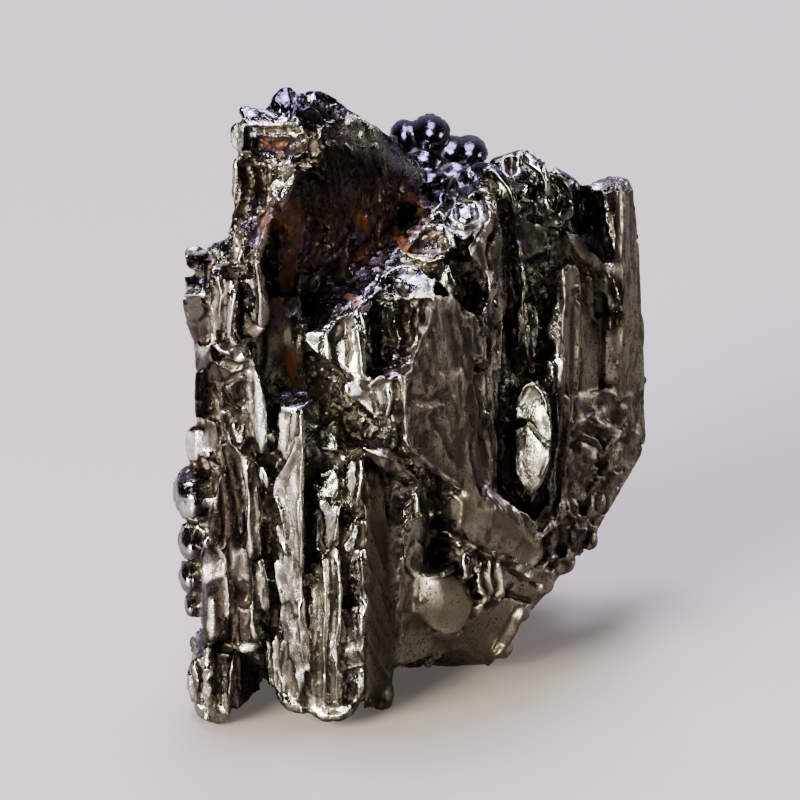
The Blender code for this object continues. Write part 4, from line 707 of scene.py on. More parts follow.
def stroke_relief(places, stroke, path):
    """How far a stroke moves each place out along its normal, in mm."""
    if isinstance(stroke, Facet):
        toward = (places - np.mean(path, axis=0)) @ np.array(FACES[stroke.faces])
        return -stroke.slope * toward / SHEET_UNITS_PER_MM * inside(places, path)
    nearness = np.clip(1 - path_distance(places, path) / stroke.width, 0, 1)
    rounded = nearness * nearness * (3 - 2 * nearness)
    return rounded * (stroke.height if isinstance(stroke, Rib) else -stroke.depth)


def carve(places, strokes):
    """The relief of many strokes together, in mm."""
    relief = np.zeros(len(places))
    for stroke in strokes.values():
        margin = 0 if isinstance(stroke, Facet) else stroke.width
        for path in paths_of(stroke.path):
            low, high = np.min(path, axis=0) - margin, np.max(path, axis=0) + margin
            near = np.nonzero(np.all((places > low) & (places < high), axis=1))[0]
            relief[near] += stroke_relief(places[near], stroke, path)
    return relief


# %% [markdown]
# ## Strokes on the pillar
#
# Each stroke belongs to one form of the pillar: the rim of its cap, the hollows
# under its hood, the necks between its bulges. They follow the form.

# %% Strokes on the pillar
PILLAR_STROKES = {
    "cap_facets": Facet("down", 0.35, "188,256 214,256 213,272 190,272"),
    "cap_facets_2": Facet("up", 0.25, "188,276 208,276 208,290 188,290"),
    "cap_grooves": Groove(2.5, 0.3, "215,262 211,272 210,290 213,310 212,340"),
    "hood_facets": Facet("right", 0.3, "222,250 238,240 240,262 224,266"),
    "hood_ribs": Rib(3.5, 0.3, "250,230 246,242 245,256"),
    "hood_facets_2": Facet("up_right", 0.3, "251,234 264,224 262,250 250,258"),
    "hood_ribs_2": Rib(4, 0.3, "270,222 266,240 259,258 261,276 264,300 264,330"),
    "flute_grooves": Groove(2.5, 0.3, "226,282 227,300 226,320 224,340 / 241,290 242,310 240,330"),
    "flute_grooves_2": Groove(2, 0.25, "214,282 217,300 215,330 216,350"),
    "flute_ribs": Rib(4, 0.3, "238,292 237,305 234,322 233,338"),
    "cell_facets": Facet("left", 0.3, "250,316 262,314 262,326 252,326"),
    "block_facets": Facet("up", 0.35, "188,300 206,299 207,308 188,309"),
    "jaw_facets": Facet("left", 0.3, "197,346 211,346 210,357 198,356"),
    "chin_ribs": Rib(3.5, 0.3, "220,346 226,352 232,354 238,349 246,342"),
    "chin_facets": Facet("left", 0.35, "234,356 247,347 250,358 240,363"),
    "boulder_ribs": Rib(3.5, 0.3, "215,360 226,366 236,372 248,368"),
    "boulder_grooves": Groove(3, 0.3, "222,384 232,382 242,374 250,370"),
    "blade_grooves": Groove(3, 0.3, "247,374 249,400 250,425 254,440 258,458"),
    "blade_facets": Facet("left", 0.25, "250,365 258,366 268,400 270,440 262,452 254,430 250,400"),
    "waist_ribs": Rib(3, 0.3, "246,378 248,400 250,420"),
    "waist_grooves": Groove(3, 0.3, "226,388 232,400 240,405 247,400 / 210,372 214,388 212,408"),
    "waist_facets": Facet("right", 0.35, "232,385 246,380 247,404 236,404"),
    "waist_grooves_2": Groove(2.5, 0.25, "222,412 230,408 237,414 234,430 240,444 250,455"),
    "waist_facets_2": Facet("up_left", 0.3, "236,416 246,412 248,440 240,438"),
    "waist_facets_3": Facet("left", 0.2, "226,422 236,424 240,440 232,436"),
    "waist_grooves_3": Groove(4, 0.4, "214,392 218,405 222,425 224,440"),
    "pillar_ribs": Rib(3, 0.3, "248,458 249,480 251,500 251,520 253,550"),
    "pillar_grooves": Groove(3, 0.3, "255,462 256,480 257,500 258,530 260,550"),
    "waist_grooves_4": Groove(2.5, 0.3, "226,450 232,470 238,500 242,530 / 222,470 226,495 228,520 "
        "226,545"),
    "drop_facets": Facet("left", 0.35, "262,468 268,470 270,484 264,486"),
    "bulge_facets": Facet("left", 0.3, "190,432 200,428 199,456 190,460 / 202,482 214,480 218,500 "
        "208,508 202,498"),
    "bulge_grooves": Groove(3, 0.3, "188,462 198,464 210,462 220,466"),
    "bulge_facets_2": Facet("up", 0.35, "184,474 194,466 210,466 214,478 200,482 186,484"),
    "bulge_facets_3": Facet("up_left", 0.35, "184,500 198,500 198,516 184,516"),
    "bulge_ribs": Rib(3, 0.3, "186,526 196,523 206,530 209,544"),
    "boss_facets": Facet("up_left", 0.25, "204,562 226,558 226,576 206,582"),
    "trunk_grooves": Groove(2.5, 0.3, "231,540 233,565 235,600 234,640"),
    "trunk_grooves_2": Groove(3, 0.3, "257,555 259,580 258,610 262,640 / 204,642 216,640 228,642 "
        "238,646"),
    "panel_facets": Facet("right", 0.25, "258,572 266,570 268,604 260,606"),
    "trunk_ribs": Rib(3, 0.3, "215,600 216,618 215,634"),
    "block_facets_2": Facet("right", 0.2, "240,610 250,608 250,636 240,640"),
    "block_ribs": Rib(3, 0.3, "253,604 254,620 256,634 262,640"),
    "block_facets_3": Facet("up", 0.3, "240,642 256,640 257,650 241,652"),
    "foot_facets": Facet("left", 0.4, "188,668 196,658 202,666 202,706 192,700"),
    "foot_grooves": Groove(2.5, 0.25, "220,655 221,680 221,710"),
    "foot_grooves_2": Groove(2.5, 0.3, "226,660 226,690 226,708"),
    "foot_ribs": Rib(2.5, 0.3, "207,668 213,665 214,671 208,678 213,685 210,696"),
    "foot_ribs_2": Rib(3, 0.3, "196,664 200,680 200,698 204,708 / 236,650 233,668 231,690 229,708"),
    "foot_ribs_3": Rib(3.5, 0.3, "206,714 218,719 230,714"),
    "heel_facets": Facet("right", 0.3, "238,655 264,654 268,690 248,700 236,708"),
}
# %% [markdown]
# ## Strokes on the flutes
#
# The flutes show long grain lines with short cuts across them, as crystal laths do
# where they break.

# %% Strokes on the flutes
FLUTES_STROKES = {
    "cap_facets": Facet("up", 0.3, "282,393 308,392 311,399 300,405 284,406"),
    "cap_ribs": Rib(3, 0.3, "277,403 284,408 304,408 312,400"),
    "central_facets": Facet("right", 0.45, "280,413 292,413 288,450 278,450"),
    "central_ribs": Rib(3, 0.3, "300,436 295,452 288,466 280,478 278,492 283,510 288,536 / 280,524 "
        "284,540 290,552 / 279,560 280,580 285,600 282,618 / 300,600 303,614 301,628 306,644 "
        "309,660 / 284,640 283,655 280,668 285,682 286,700"),
    "central_grooves": Groove(2, 0.2, "303,444 298,458 292,470 285,482 284,492 289,512 293,534 / "
        "298,480 300,500 300,530 299,560"),
    "central_ribs_2": Rib(2.5, 0.3, "303,414 304,450 302,490 303,530 303,570"),
    "central_facets_2": Facet("right", 0.4, "276,478 283,470 280,490 284,512 278,520"),
    "central_grooves_2": Groove(2.5, 0.25, "296,560 297,580 300,600 298,620"),
    "central_grooves_3": Groove(2.5, 0.3, "296,616 298,632 304,648 308,664"),
    "central_facets_3": Facet("right", 0.3, "290,640 300,646 306,668 296,668 290,655"),
    "central_ribs_3": Rib(3, 0.25, "298,672 302,684 300,696 303,710"),
    "side_facets": Facet("right", 0.3, "264,636 274,634 276,684 266,680"),
    "side_ribs": Rib(3, 0.3, "274,640 276,660 277,684"),
    "right_facets": Facet("up", 0.4, "320,424 330,418 334,426 322,434"),
    "right_ribs": Rib(3, 0.3, "320,432 328,430 336,438 339,452"),
    "right_facets_2": Facet("up_left", 0.4, "322,474 334,470 336,478 326,484"),
    "right_ribs_2": Rib(2.5, 0.3, "340,500 338,520 336,535 330,548"),
    "right_grooves": Groove(3, 0.3, "318,510 322,525 320,540 326,552"),
    "twin_grooves": Groove(2, 0.25, "332,556 334,590 333,620 330,650 331,690 / 344,580 345,610 "
        "344,640 344,670"),
    "twin_ribs": Rib(3, 0.3, "324,556 326,580 327,610 325,640 326,670 325,700 / 339,560 341,590 "
        "340,620 336,645 337,670 338,700"),
    "twin_grooves_2": Groove(2.5, 0.3, "318,575 319,600 320,630 318,660 319,700"),
    "square_facets": Facet("left", 0.4, "305,573 317,571 318,581 308,584"),
    "low_facets": Facet("right", 0.3, "311,652 319,650 320,684 312,686"),
    "low_ribs": Rib(2.5, 0.25, "308,600 312,615 310,632 314,648"),
    "corner_facets": Facet("right", 0.3, "345,464 358,460 357,486 346,492"),
    "corner_ribs": Rib(3, 0.3, "362,456 362,476 358,498 352,506 / 358,524 352,536 346,544 352,552 "
        "/ 362,556 364,575 362,596"),
    "corner_facets_2": Facet("up_left", 0.45, "346,516 358,513 357,526 348,530"),
    "corner_facets_3": Facet("left", 0.4, "346,612 364,610 364,634 347,638"),
    "corner_facets_4": Facet("down", 0.3, "346,646 364,644 364,664 347,666"),
    "corner_facets_5": Facet("up", 0.35, "344,672 362,670 361,680 345,681"),
    "corner_facets_6": Facet("left", 0.35, "345,683 362,681 360,698 346,699"),
    "side_ribs_2": Rib(3.5, 0.2, "366,520 374,545 384,575 / 365,560 374,585 387,615 / 366,600 "
        "376,625 389,650 / 366,636 376,656 387,676"),
    "side_grooves": Groove(2.5, 0.2, "366,540 375,566 388,596 / 366,582 376,606 389,632"),
}
# %% [markdown]
# ## Strokes on the ridge
#
# The ridge has a beak on the left and a scoop in its face, with seams where its
# crystals meet, so its strokes run along those seams.

# %% Strokes on the ridge
RIDGE_STROKES = {
    "beak_facets": Facet("left", 0.25, "308,341 330,338 332,362 320,356"),
    "beak_grooves": Groove(2.5, 0.3, "332,336 334,350 337,366"),
    "beak_ribs": Rib(3, 0.3, "308,336 322,333 337,321 356,313 368,302"),
    "front_grooves": Groove(2.5, 0.3, "350,322 348,336 351,350 348,364"),
    "front_ribs": Rib(3.5, 0.3, "356,318 360,335 362,355 364,380"),
    "scoop_ribs": Rib(4, 0.4, "370,300 378,293 386,290 394,288"),
    "scoop_grooves": Groove(5, 0.7, "391,284 398,286 402,292"),
    "scoop_grooves_2": Groove(7, 0.9, "374,312 376,330 374,350 376,366"),
    "scoop_grooves_3": Groove(6, 0.8, "388,312 386,326 392,340 386,356 / 404,308 400,322 408,338 "
        "404,354"),
    "scoop_grooves_4": Groove(6, 0.7, "380,364 394,368 406,364"),
    "scoop_ribs_2": Rib(3.5, 0.5, "380,306 390,310 396,318 394,328 / 412,312 408,326 414,336 "
        "420,330 / 378,338 386,346 396,350 408,346"),
    "scoop_ribs_3": Rib(3, 0.5, "368,322 378,326 384,334 / 394,350 400,358 410,360"),
    "scoop_ribs_4": Rib(3.5, 0.3, "430,312 429,326 424,334 418,346 414,358 412,370"),
    "scoop_ribs_5": Rib(3.5, 0.4, "371,384 380,378 394,378"),
    "hem_grooves": Groove(2.5, 0.4, "368,386 372,398 376,412 / 396,384 397,398 395,412"),
    "hem_ribs": Rib(3, 0.3, "388,388 390,402 388,414 / 346,386 354,396 364,408 372,418 / 405,380 "
        "405,402 406,426 409,444"),
    "hem_grooves_2": Groove(2.5, 0.3, "411,386 411,410 412,432 416,450"),
    "flank_grooves": Groove(3, 0.15, "458,318 466,340 461,362 470,385 467,408 474,430 471,452 "
        "479,486"),
    "flank_grooves_2": Groove(3, 0.2, "474,322 479,350 474,378 480,404 478,430 483,466"),
    "flank_ribs": Rib(4, 0.15, "468,330 472,356 470,380 476,410 475,440 481,470"),
    "flank_grooves_3": Groove(9, 0.3, "414,398 430,402 448,396"),
    "flank_grooves_4": Groove(8, 0.3, "434,418 446,438 454,456"),
    "flank_grooves_5": Groove(8, 0.25, "448,318 452,345 458,368"),
    "flank_ribs_2": Rib(9, 0.25, "424,346 430,372"),
    "flank_ribs_3": Rib(8, 0.25, "440,378 452,400 458,424"),
    "flank_ribs_4": Rib(2.5, 0.4, "486,412 484,430 487,448 490,466"),
    "flank_grooves_6": Groove(2.5, 0.5, "490,340 488,370 490,400 490,440 494,470"),
    "flank_ribs_5": Rib(3, 0.3, "404,436 418,456 442,474 458,485"),
    "alcove_ribs": Rib(3, 0.3, "488,276 489,292 486,306 480,316"),
    "alcove_grooves": Groove(9, 1, "472,282 476,296 470,308"),
    "alcove_ribs_2": Rib(3, 0.5, "468,284 476,280 484,284"),
    "alcove_ribs_3": Rib(4, 0.6, "474,362 480,360 482,370 476,374"),
    "lens_ribs": Rib(3.5, 0.3, "366,442 376,438 386,442"),
    "lens_ribs_2": Rib(3, 0.3, "360,446 372,450 390,456 404,466 418,480"),
    "lens_facets": Facet("up_left", 0.5, "390,462 400,461 401,471 392,472"),
}
# %% [markdown]
# ## Strokes on the right side and the top
#
# The right side is broader and calmer, and the top is the most broken. Its strokes
# are cut deeper where crystals stand free.

# %% Strokes on the right side and the top
RIGHT_STROKES = {
    "leaf_facets": Facet("left", 0.12, "516,390 546,392 548,470 530,492 517,470"),
    "leaf_grooves": Groove(2, 0.4, "512,423 522,422 530,426 538,436 549,447"),
    "leaf_ribs": Rib(2.5, 0.3, "541,392 547,408 550,430 549,455 541,476"),
    "leaf_ribs_2": Rib(3, 0.3, "517,402 524,388 531,383 540,390"),
    "rib_grooves": Groove(2, 0.3, "552,398 554,430 551,462 545,482 / 560,388 561,420 558,455 "
        "552,482"),
    "rib_ribs": Rib(2.5, 0.3, "556,392 558,425 555,460 548,488 / 567,385 567,420 563,455 556,482 "
        "550,505"),
    "vein_ribs": Rib(3, 0.3, "562,505 555,518 545,530 536,537"),
    "vein_ribs_2": Rib(2.5, 0.3, "550,490 548,510 543,524 536,536 / 562,478 563,495 562,510 "
        "570,522"),
    "above_grooves": Groove(3, 0.4, "510,486 518,500 528,512"),
    "above_ribs": Rib(3, 0.3, "500,482 512,500 524,514 534,528"),
    "tongue_ribs": Rib(3, 0.3, "518,560 530,564 538,558 540,548"),
    "tongue_ribs_2": Rib(3.5, 0.3, "498,503 514,518 527,534 537,546"),
    "tongue_ribs_3": Rib(4, 0.4, "456,494 462,500 461,514 459,526"),
    "tongue_grooves": Groove(3.5, 0.5, "460,540 478,550 498,558 518,567"),
    "curl_ribs": Rib(3.5, 0.5, "486,484 489,494 496,501 500,506"),
    "curl_grooves": Groove(3, 0.5, "480,488 484,499 494,507"),
    "recess_ribs": Rib(3, 0.4, "438,532 448,532 457,537 460,546"),
    "recess_grooves": Groove(8, 0.9, "438,546 446,552 436,560"),
    "knob_ribs": Rib(3, 0.4, "423,574 436,575 450,570 453,562"),
    "crumple_grooves": Groove(2.5, 0.4, "484,560 482,575 486,590 / 494,558 492,574 497,590 492,602 "
        "/ 474,566 476,582 480,596 474,606"),
    "crumple_ribs": Rib(3, 0.4, "488,560 487,575 491,590 / 498,562 500,578 501,594 / 479,562 "
        "479,578 482,592 / 476,613 481,603 485,597 480,590"),
    "crumple_grooves_2": Groove(3.5, 0.6, "484,607 496,603 506,597 512,586"),
    "belly_grooves": Groove(3, 0.3, "516,608 506,632 496,648"),
    "belly_ribs": Rib(4.5, 0.3, "525,606 514,630 502,650 488,664"),
    "belly_ribs_2": Rib(3.5, 0.25, "452,647 464,647 474,655 484,660"),
    "hip_grooves": Groove(4, 0.6, "511,570 524,580 538,585"),
    "hip_grooves_2": Groove(3.5, 0.5, "505,590 518,598 530,602"),
    "hip_ribs": Rib(4.5, 0.4, "528,576 541,567 553,556"),
    "hip_ribs_2": Rib(3.5, 0.4, "527,583 540,580 553,570"),
    "flank_grooves": Groove(6, 0.4, "571,447 582,440 594,443 602,450 / 625,442 616,450 606,462 "
        "596,474 583,482 / 571,496 577,510 584,524"),
    "flank_grooves_2": Groove(6, 0.3, "592,524 586,540 574,556"),
    "flank_grooves_3": Groove(5.5, 0.3, "606,482 597,495 599,510 / 560,520 566,536 561,553 / "
        "600,404 604,418 618,424 630,420"),
    "flank_ribs": Rib(7.2, 0.3, "574,424 590,418 608,428"),
    "flank_ribs_2": Rib(6, 0.3, "586,463 600,456 612,444 622,432 / 582,500 592,489 606,478 "
        "620,474"),
    "flank_ribs_3": Rib(5.4, 0.3, "586,532 584,517 592,507"),
    "flank_ribs_4": Rib(6, 0.25, "606,392 618,398 632,396"),
    "slab_ribs": Rib(3.5, 0.3, "585,197 593,191 604,190 617,188"),
    "slab_facets": Facet("left", 0.3, "602,196 621,194 621,240 614,244"),
    "slab_grooves": Groove(2.5, 0.4, "606,214 610,232 612,250"),
    "slab_ribs_2": Rib(3, 0.3, "622,192 623,230 622,270 622,310 622,350"),
    "nub_facets": Facet("left", 0.4, "607,277 616,279 620,300 611,300 / 607,312 618,309 619,326 "
        "610,330"),
    "lobe_grooves": Groove(3.5, 0.5, "562,232 568,248 580,262 592,270 / 577,268 590,275 605,275"),
    "shoulder_grooves": Groove(7, 0.9, "600,298 602,314"),
    "shoulder_grooves_2": Groove(3, 0.4, "577,300 588,308 596,322"),
    "shoulder_ribs": Rib(3, 0.4, "587,276 588,290 585,302"),
    "panel_grooves": Groove(3, 0.5, "602,322 603,350 602,386"),
    "panel_grooves_2": Groove(2.5, 0.4, "580,312 580,350 579,390"),
    "slab_facets_2": Facet("left", 0.35, "554,272 563,270 563,300 556,302"),
    "slab_ribs_3": Rib(2.5, 0.3, "574,266 577,285 577,340 575,390"),
    "second_ribs": Rib(3, 0.3, "521,316 523,332 526,348 530,364"),
    "second_grooves": Groove(2.5, 0.3, "530,312 532,330 533,350 532,368"),
    "thin_ribs": Rib(3, 0.3, "516,242 520,258 524,280 522,298 519,308"),
    "thin_grooves": Groove(2.5, 0.4, "511,250 515,270 517,290 514,310"),
    "first_grooves": Groove(2.5, 0.4, "507,268 508,290 512,312 514,336"),
    "first_ribs": Rib(3, 0.3, "505,262 506,284 504,306"),
    "groove_grooves": Groove(2.5, 0.4, "498,262 499,290 500,320 497,350"),
    "groove_ribs": Rib(3, 0.3, "494,282 495,310 493,340 495,370"),
    "mid_grooves": Groove(3, 0.5, "510,222 514,236 512,256"),
    "mid_grooves_2": Groove(3.5, 0.5, "516,262 530,263 545,252"),
    "mid_ribs": Rib(3, 0.3, "537,225 547,232 548,242 540,254"),
}
TOP_STROKES = {
    "peak_ribs": Rib(3.5, 0.3, "249,128 275,129 300,127"),
    "peak_grooves": Groove(2.5, 0.4, "253,134 272,136 288,136 / 248,134 250,146 248,158 246,168"),
    "peak_facets": Facet("left", 0.35, "286,131 300,130 300,141 288,140"),
    "peak_facets_2": Facet("left", 0.3, "236,128 246,128 247,150 240,156"),
    "shaft_facets": Facet("right", 0.3, "238,162 272,165 270,226 236,236"),
    "knob_grooves": Groove(2.5, 0.3, "271,112 280,118 290,114"),
    "knob_grooves_2": Groove(3, 0.5, "294,95 297,106 294,118 292,126"),
    "knob_ribs": Rib(3, 0.3, "276,106 282,110 284,118"),
    "crest_grooves": Groove(3, 0.5, "306,97 312,107 322,112 331,122 / 300,117 312,121 326,127 "
        "336,134 / 498,194 500,212 498,228 493,242"),
    "crest_grooves_2": Groove(2.5, 0.4, "324,97 332,105 343,110"),
    "crest_ribs": Rib(3.5, 0.4, "313,98 319,103 324,108 / 302,106 308,114 318,118"),
    "crest_ribs_2": Rib(3, 0.4, "334,108 338,116 342,124"),
    "hollow_grooves": Groove(8, 1, "260,147 278,150 296,150"),
    "hollow_ribs": Rib(3, 0.5, "258,142 268,148 276,146 / 282,154 290,148 298,152"),
    "hollow_ribs_2": Rib(3, 0.4, "252,155 260,165 272,168 290,166 304,167 318,169"),
    "tip_ribs": Rib(2.5, 0.3, "311,142 316,138 320,146 321,160 312,162 309,152 311,142"),
    "bar_facets": Facet("left", 0.35, "280,171 299,170 296,182 282,186 / 274,189 290,187 284,200 "
        "278,207"),
    "bar_grooves": Groove(2.5, 0.4, "275,188 286,188 294,184"),
    "shaft_grooves": Groove(3.5, 0.6, "249,168 252,185 247,205 243,222 / 262,171 264,188 259,206 "
        "256,220"),
    "shaft_grooves_2": Groove(2.5, 0.5, "270,174 268,190 269,206"),
    "shaft_ribs": Rib(3, 0.4, "256,182 258,190 256,198 / 250,206 256,210 262,206 / 262,214 270,210 "
        "275,217 272,226"),
    "slope_ribs": Rib(7.2, 0.5, "322,133 332,130 339,138"),
    "slope_ribs_2": Rib(6, 0.4, "326,150 334,148 340,154"),
    "slope_grooves": Groove(3, 0.3, "312,176 318,200 322,224 / 336,168 340,200 346,232 / 360,162 "
        "366,190 368,216 / 384,160 390,184 392,204"),
    "slope_ribs_3": Rib(5, 0.3, "326,172 328,196 331,218 / 300,188 304,208 309,228 / 350,150 "
        "356,176 358,202 / 376,150 380,176 380,204"),
    "lip_ribs": Rib(3.5, 0.4, "407,253 418,238 428,228 440,215 / 408,256 418,259 430,262 442,258"),
    "lip_ribs_2": Rib(3, 0.4, "432,230 443,231 450,238 453,249"),
    "lip_grooves": Groove(3, 0.5, "420,246 430,236 440,238 444,248"),
    "lip_grooves_2": Groove(2.5, 0.4, "412,264 426,268 440,266"),
    "hump_grooves": Groove(2.5, 0.4, "454,208 464,203 473,208 475,218 466,224 456,220 454,208 / "
        "446,222 454,228 466,230 478,226 / 444,214 450,206 456,200"),
    "hump_ribs": Rib(4, 0.4, "461,240 473,235"),
    "crest_facets": Facet("up", 0.4, "479,193 491,192 491,202 480,203"),
    "crest_ribs_3": Rib(3.5, 0.3, "487,208 490,216 488,224"),
    "face_grooves": Groove(2.5, 0.4, "500,228 490,242 488,256 491,272"),
    "face_grooves_2": Groove(2.5, 0.3, "484,226 478,238 469,252"),
    "ear_ribs": Rib(3, 0.4, "484,187 482,178 487,173"),
    "ear_grooves": Groove(2.5, 0.5, "489,176 490,188 484,193 / 496,184 503,194 507,208"),
    "ear_ribs_2": Rib(3, 0.3, "474,171 488,171 499,179 509,192 513,208"),
    "brow_grooves": Groove(6, 0.9, "510,162 511,171"),
    "brow_grooves_2": Groove(3.5, 0.6, "520,165 532,174 538,186 536,196"),
    "brow_ribs": Rib(3, 0.4, "529,164 540,172 545,184 546,196"),
    "brow_grooves_3": Groove(3, 0.5, "551,176 558,190 557,204 549,217"),
    "cheek_facets": Facet("left", 0.35, "532,198 548,196 550,212 534,216"),
    "cheek_grooves": Groove(2, 0.3, "529,196 540,195 551,201"),
    "cheek_grooves_2": Groove(3, 0.5, "529,219 540,223 551,218"),
    "rear_grooves": Groove(2.5, 0.4, "560,176 570,180 576,190 / 566,196 576,204 580,218"),
}
# %% [markdown]
# ## Carving
#
# Sculpting by hand would give the same relief but couldn't be read or changed. Here
# each vertex near a stroke moves in or out along its normal, and only where it is
# seen, so that no stroke goes through to a surface behind.

# %% Carve the strokes
relief = np.zeros(len(points))
for strokes in (PILLAR_STROKES, FLUTES_STROKES, RIDGE_STROKES, RIGHT_STROKES, TOP_STROKES):
    relief += carve(places, strokes)
    print("strokes:", len(strokes))
points += normals * (relief * seen)[:, None]
skin_mesh.vertices.foreach_set("co", points.ravel())
skin_mesh.update()

# %% [markdown]
# ## Patches, calm and lively
#
# A patch runs along a path on the sheet, with a half width and an amount. Calm
# patches are faces that stayed smooth, and lively ones are crusted with crystals.
# The rest of the front already has its own forms, so its relief is turned down.

# %% Calm and lively patches
Patch = namedtuple("Patch", "width amount path")
FRONT_CALM = 0.72           # how much the relief is turned down on the front
PATCH_END = 1.4             # a patch ends at this many of its half widths
PATCH_FADE = 0.6            # and fades out over this many


def patch_amount(places, patches):
    """How strongly the patches cover each place, from 0 to 1."""
    amount = np.zeros(len(places))
    for patch in patches.values():
        for path in paths_of(patch.path):
            reach = path_distance(places, path if len(path) > 1 else path * 2) / patch.width
            share = np.clip((PATCH_END - reach) / PATCH_FADE, 0, 1)
            amount = np.maximum(amount, patch.amount * share)
    return amount


CALM_PATCHES = {
    "smooth": Patch(34, 0.9, "430,604 452,602"),
    "tongue": Patch(24, 0.8, "470,516 496,530 524,548"),
    "corner": Patch(13, 0.8, "380,500 382,690"),
    "leaf": Patch(16, 0.6, "531,392 532,480"),
    "tall": Patch(14, 0.7, "632,200 634,380"),
    "bulges": Patch(20, 0.7, "192,480 194,600"),
    "slab": Patch(8, 0.6, "571,275 568,440"),
    "right": Patch(44, 0.4, "610,420 590,480 570,540"),
    "belly": Patch(36, 0.7, "440,655 490,625 530,585"),
    "ridge": Patch(30, 0.2, "440,320 440,380 446,440 480,470"),
    "shoulder": Patch(22, 0.6, "584,252 588,330 588,390"),
    "central": Patch(12, 0.5, "290,420 292,560"),
    "cleft": Patch(16, 1, "276,324 278,345"),
    "lobes": Patch(30, 1, "400,140 434,138 470,160 440,190"),
    "peak": Patch(18, 0.9, "284,108 290,100"),
    "peak_2": Patch(20, 0.8, "312,108 338,120"),
    "brow": Patch(24, 0.8, "500,172 530,176 556,196"),
}
LIVELY_PATCHES = {
    "peak": Patch(50, 0.2, "340,170 370,200"),
    "terrace": Patch(36, 0.6, "300,262 350,242 400,215"),
    "scoop": Patch(18, 0.6, "384,312 396,334 400,350"),
    "shaft": Patch(16, 0.3, "254,172 250,226"),
    "strip": Patch(10, 0.9, "405,500 405,600"),
    "slab": Patch(14, 0.6, "590,205 594,240"),
    "alcove": Patch(14, 0.6, "470,290 478,310"),
}
calm = FRONT_CALM + (1 - FRONT_CALM) * patch_amount(places, CALM_PATCHES)
calm *= 1 - patch_amount(places, LIVELY_PATCHES)
store(skin_mesh, "calm", near_front * calm)
print("calm patches:", len(CALM_PATCHES), "lively patches:", len(LIVELY_PATCHES))

# %% [markdown]
# ## Relief from geometry nodes
#
# Between the strokes the metal is crystals all over: small steps, tilted facets
# and creases. A geometry nodes tree adds them to the whole skin from noise, with
# one small helper for each kind of node so that the tree reads as a recipe.

# %% Node helpers
def add_node(tree, kind, inputs=None, **settings):
    """Add a node, apply its settings, and link or fill its inputs."""
    node = tree.nodes.new(kind)
    for name, value in settings.items():
        setattr(node, name, value)
    for name, value in (inputs or {}).items():
        if isinstance(value, bpy.types.NodeSocket):
            tree.links.new(value, node.inputs[name])
        else:
            node.inputs[name].default_value = value
    return node


def calc(tree, operation, *values):
    """A Math node's result."""
    return add_node(tree, "ShaderNodeMath", dict(enumerate(values)), operation=operation).outputs[0]


def vector_calc(tree, operation, *values):
    """A Vector Math node's result."""
    made = add_node(tree, "ShaderNodeVectorMath", dict(enumerate(values)), operation=operation)
    return made.outputs["Value" if operation == "DOT_PRODUCT" else "Vector"]


def same_size(tree, value):
    """A vector with the same value three times."""
    return add_node(tree, "ShaderNodeCombineXYZ", {"X": value, "Y": value, "Z": value}).outputs[0]


def new_tree(name, sizes):
    """A geometry node tree with a mesh going through it and named inputs for its sizes."""
    tree = bpy.data.node_groups.new(name, "GeometryNodeTree")
    tree.interface.new_socket("Geometry", in_out="INPUT", socket_type="NodeSocketGeometry")
    tree.interface.new_socket("Geometry", in_out="OUTPUT", socket_type="NodeSocketGeometry")
    for size_name, value in sizes.items():
        socket = tree.interface.new_socket(size_name, in_out="INPUT", socket_type="NodeSocketFloat")
        socket.default_value = value
    return tree, tree.nodes.new("NodeGroupInput").outputs, tree.nodes.new("NodeGroupOutput").inputs


def set_inputs(modifier, values):
    """Set a node modifier's inputs by their identifiers."""
    for item in modifier.node_group.interface.items_tree:
        if item.item_type == "SOCKET" and item.in_out == "INPUT" and item.name in values:
            modifier[item.identifier] = values[item.name]


# %% [markdown]
# ## The crystal relief tree
#
# Noise stretched along the grain makes steps, and Voronoi cells tilt each facet its
# own way. The tree is used twice, broad and then fine, each with its own seed. A
# bump map would be cheaper, but it can't break the outline as crystals do.

# %% The crystal relief tree
metal = bpy.data.materials.new("nickel_iron")


def finish_tree(tree, geometry, out):
    """End a tree with real geometry in the metal."""
    real = add_node(tree, "GeometryNodeRealizeInstances", {"Geometry": geometry}).outputs[0]
    coated = add_node(tree, "GeometryNodeSetMaterial", {"Geometry": real, "Material": metal})
    tree.links.new(coated.outputs[0], out[0])


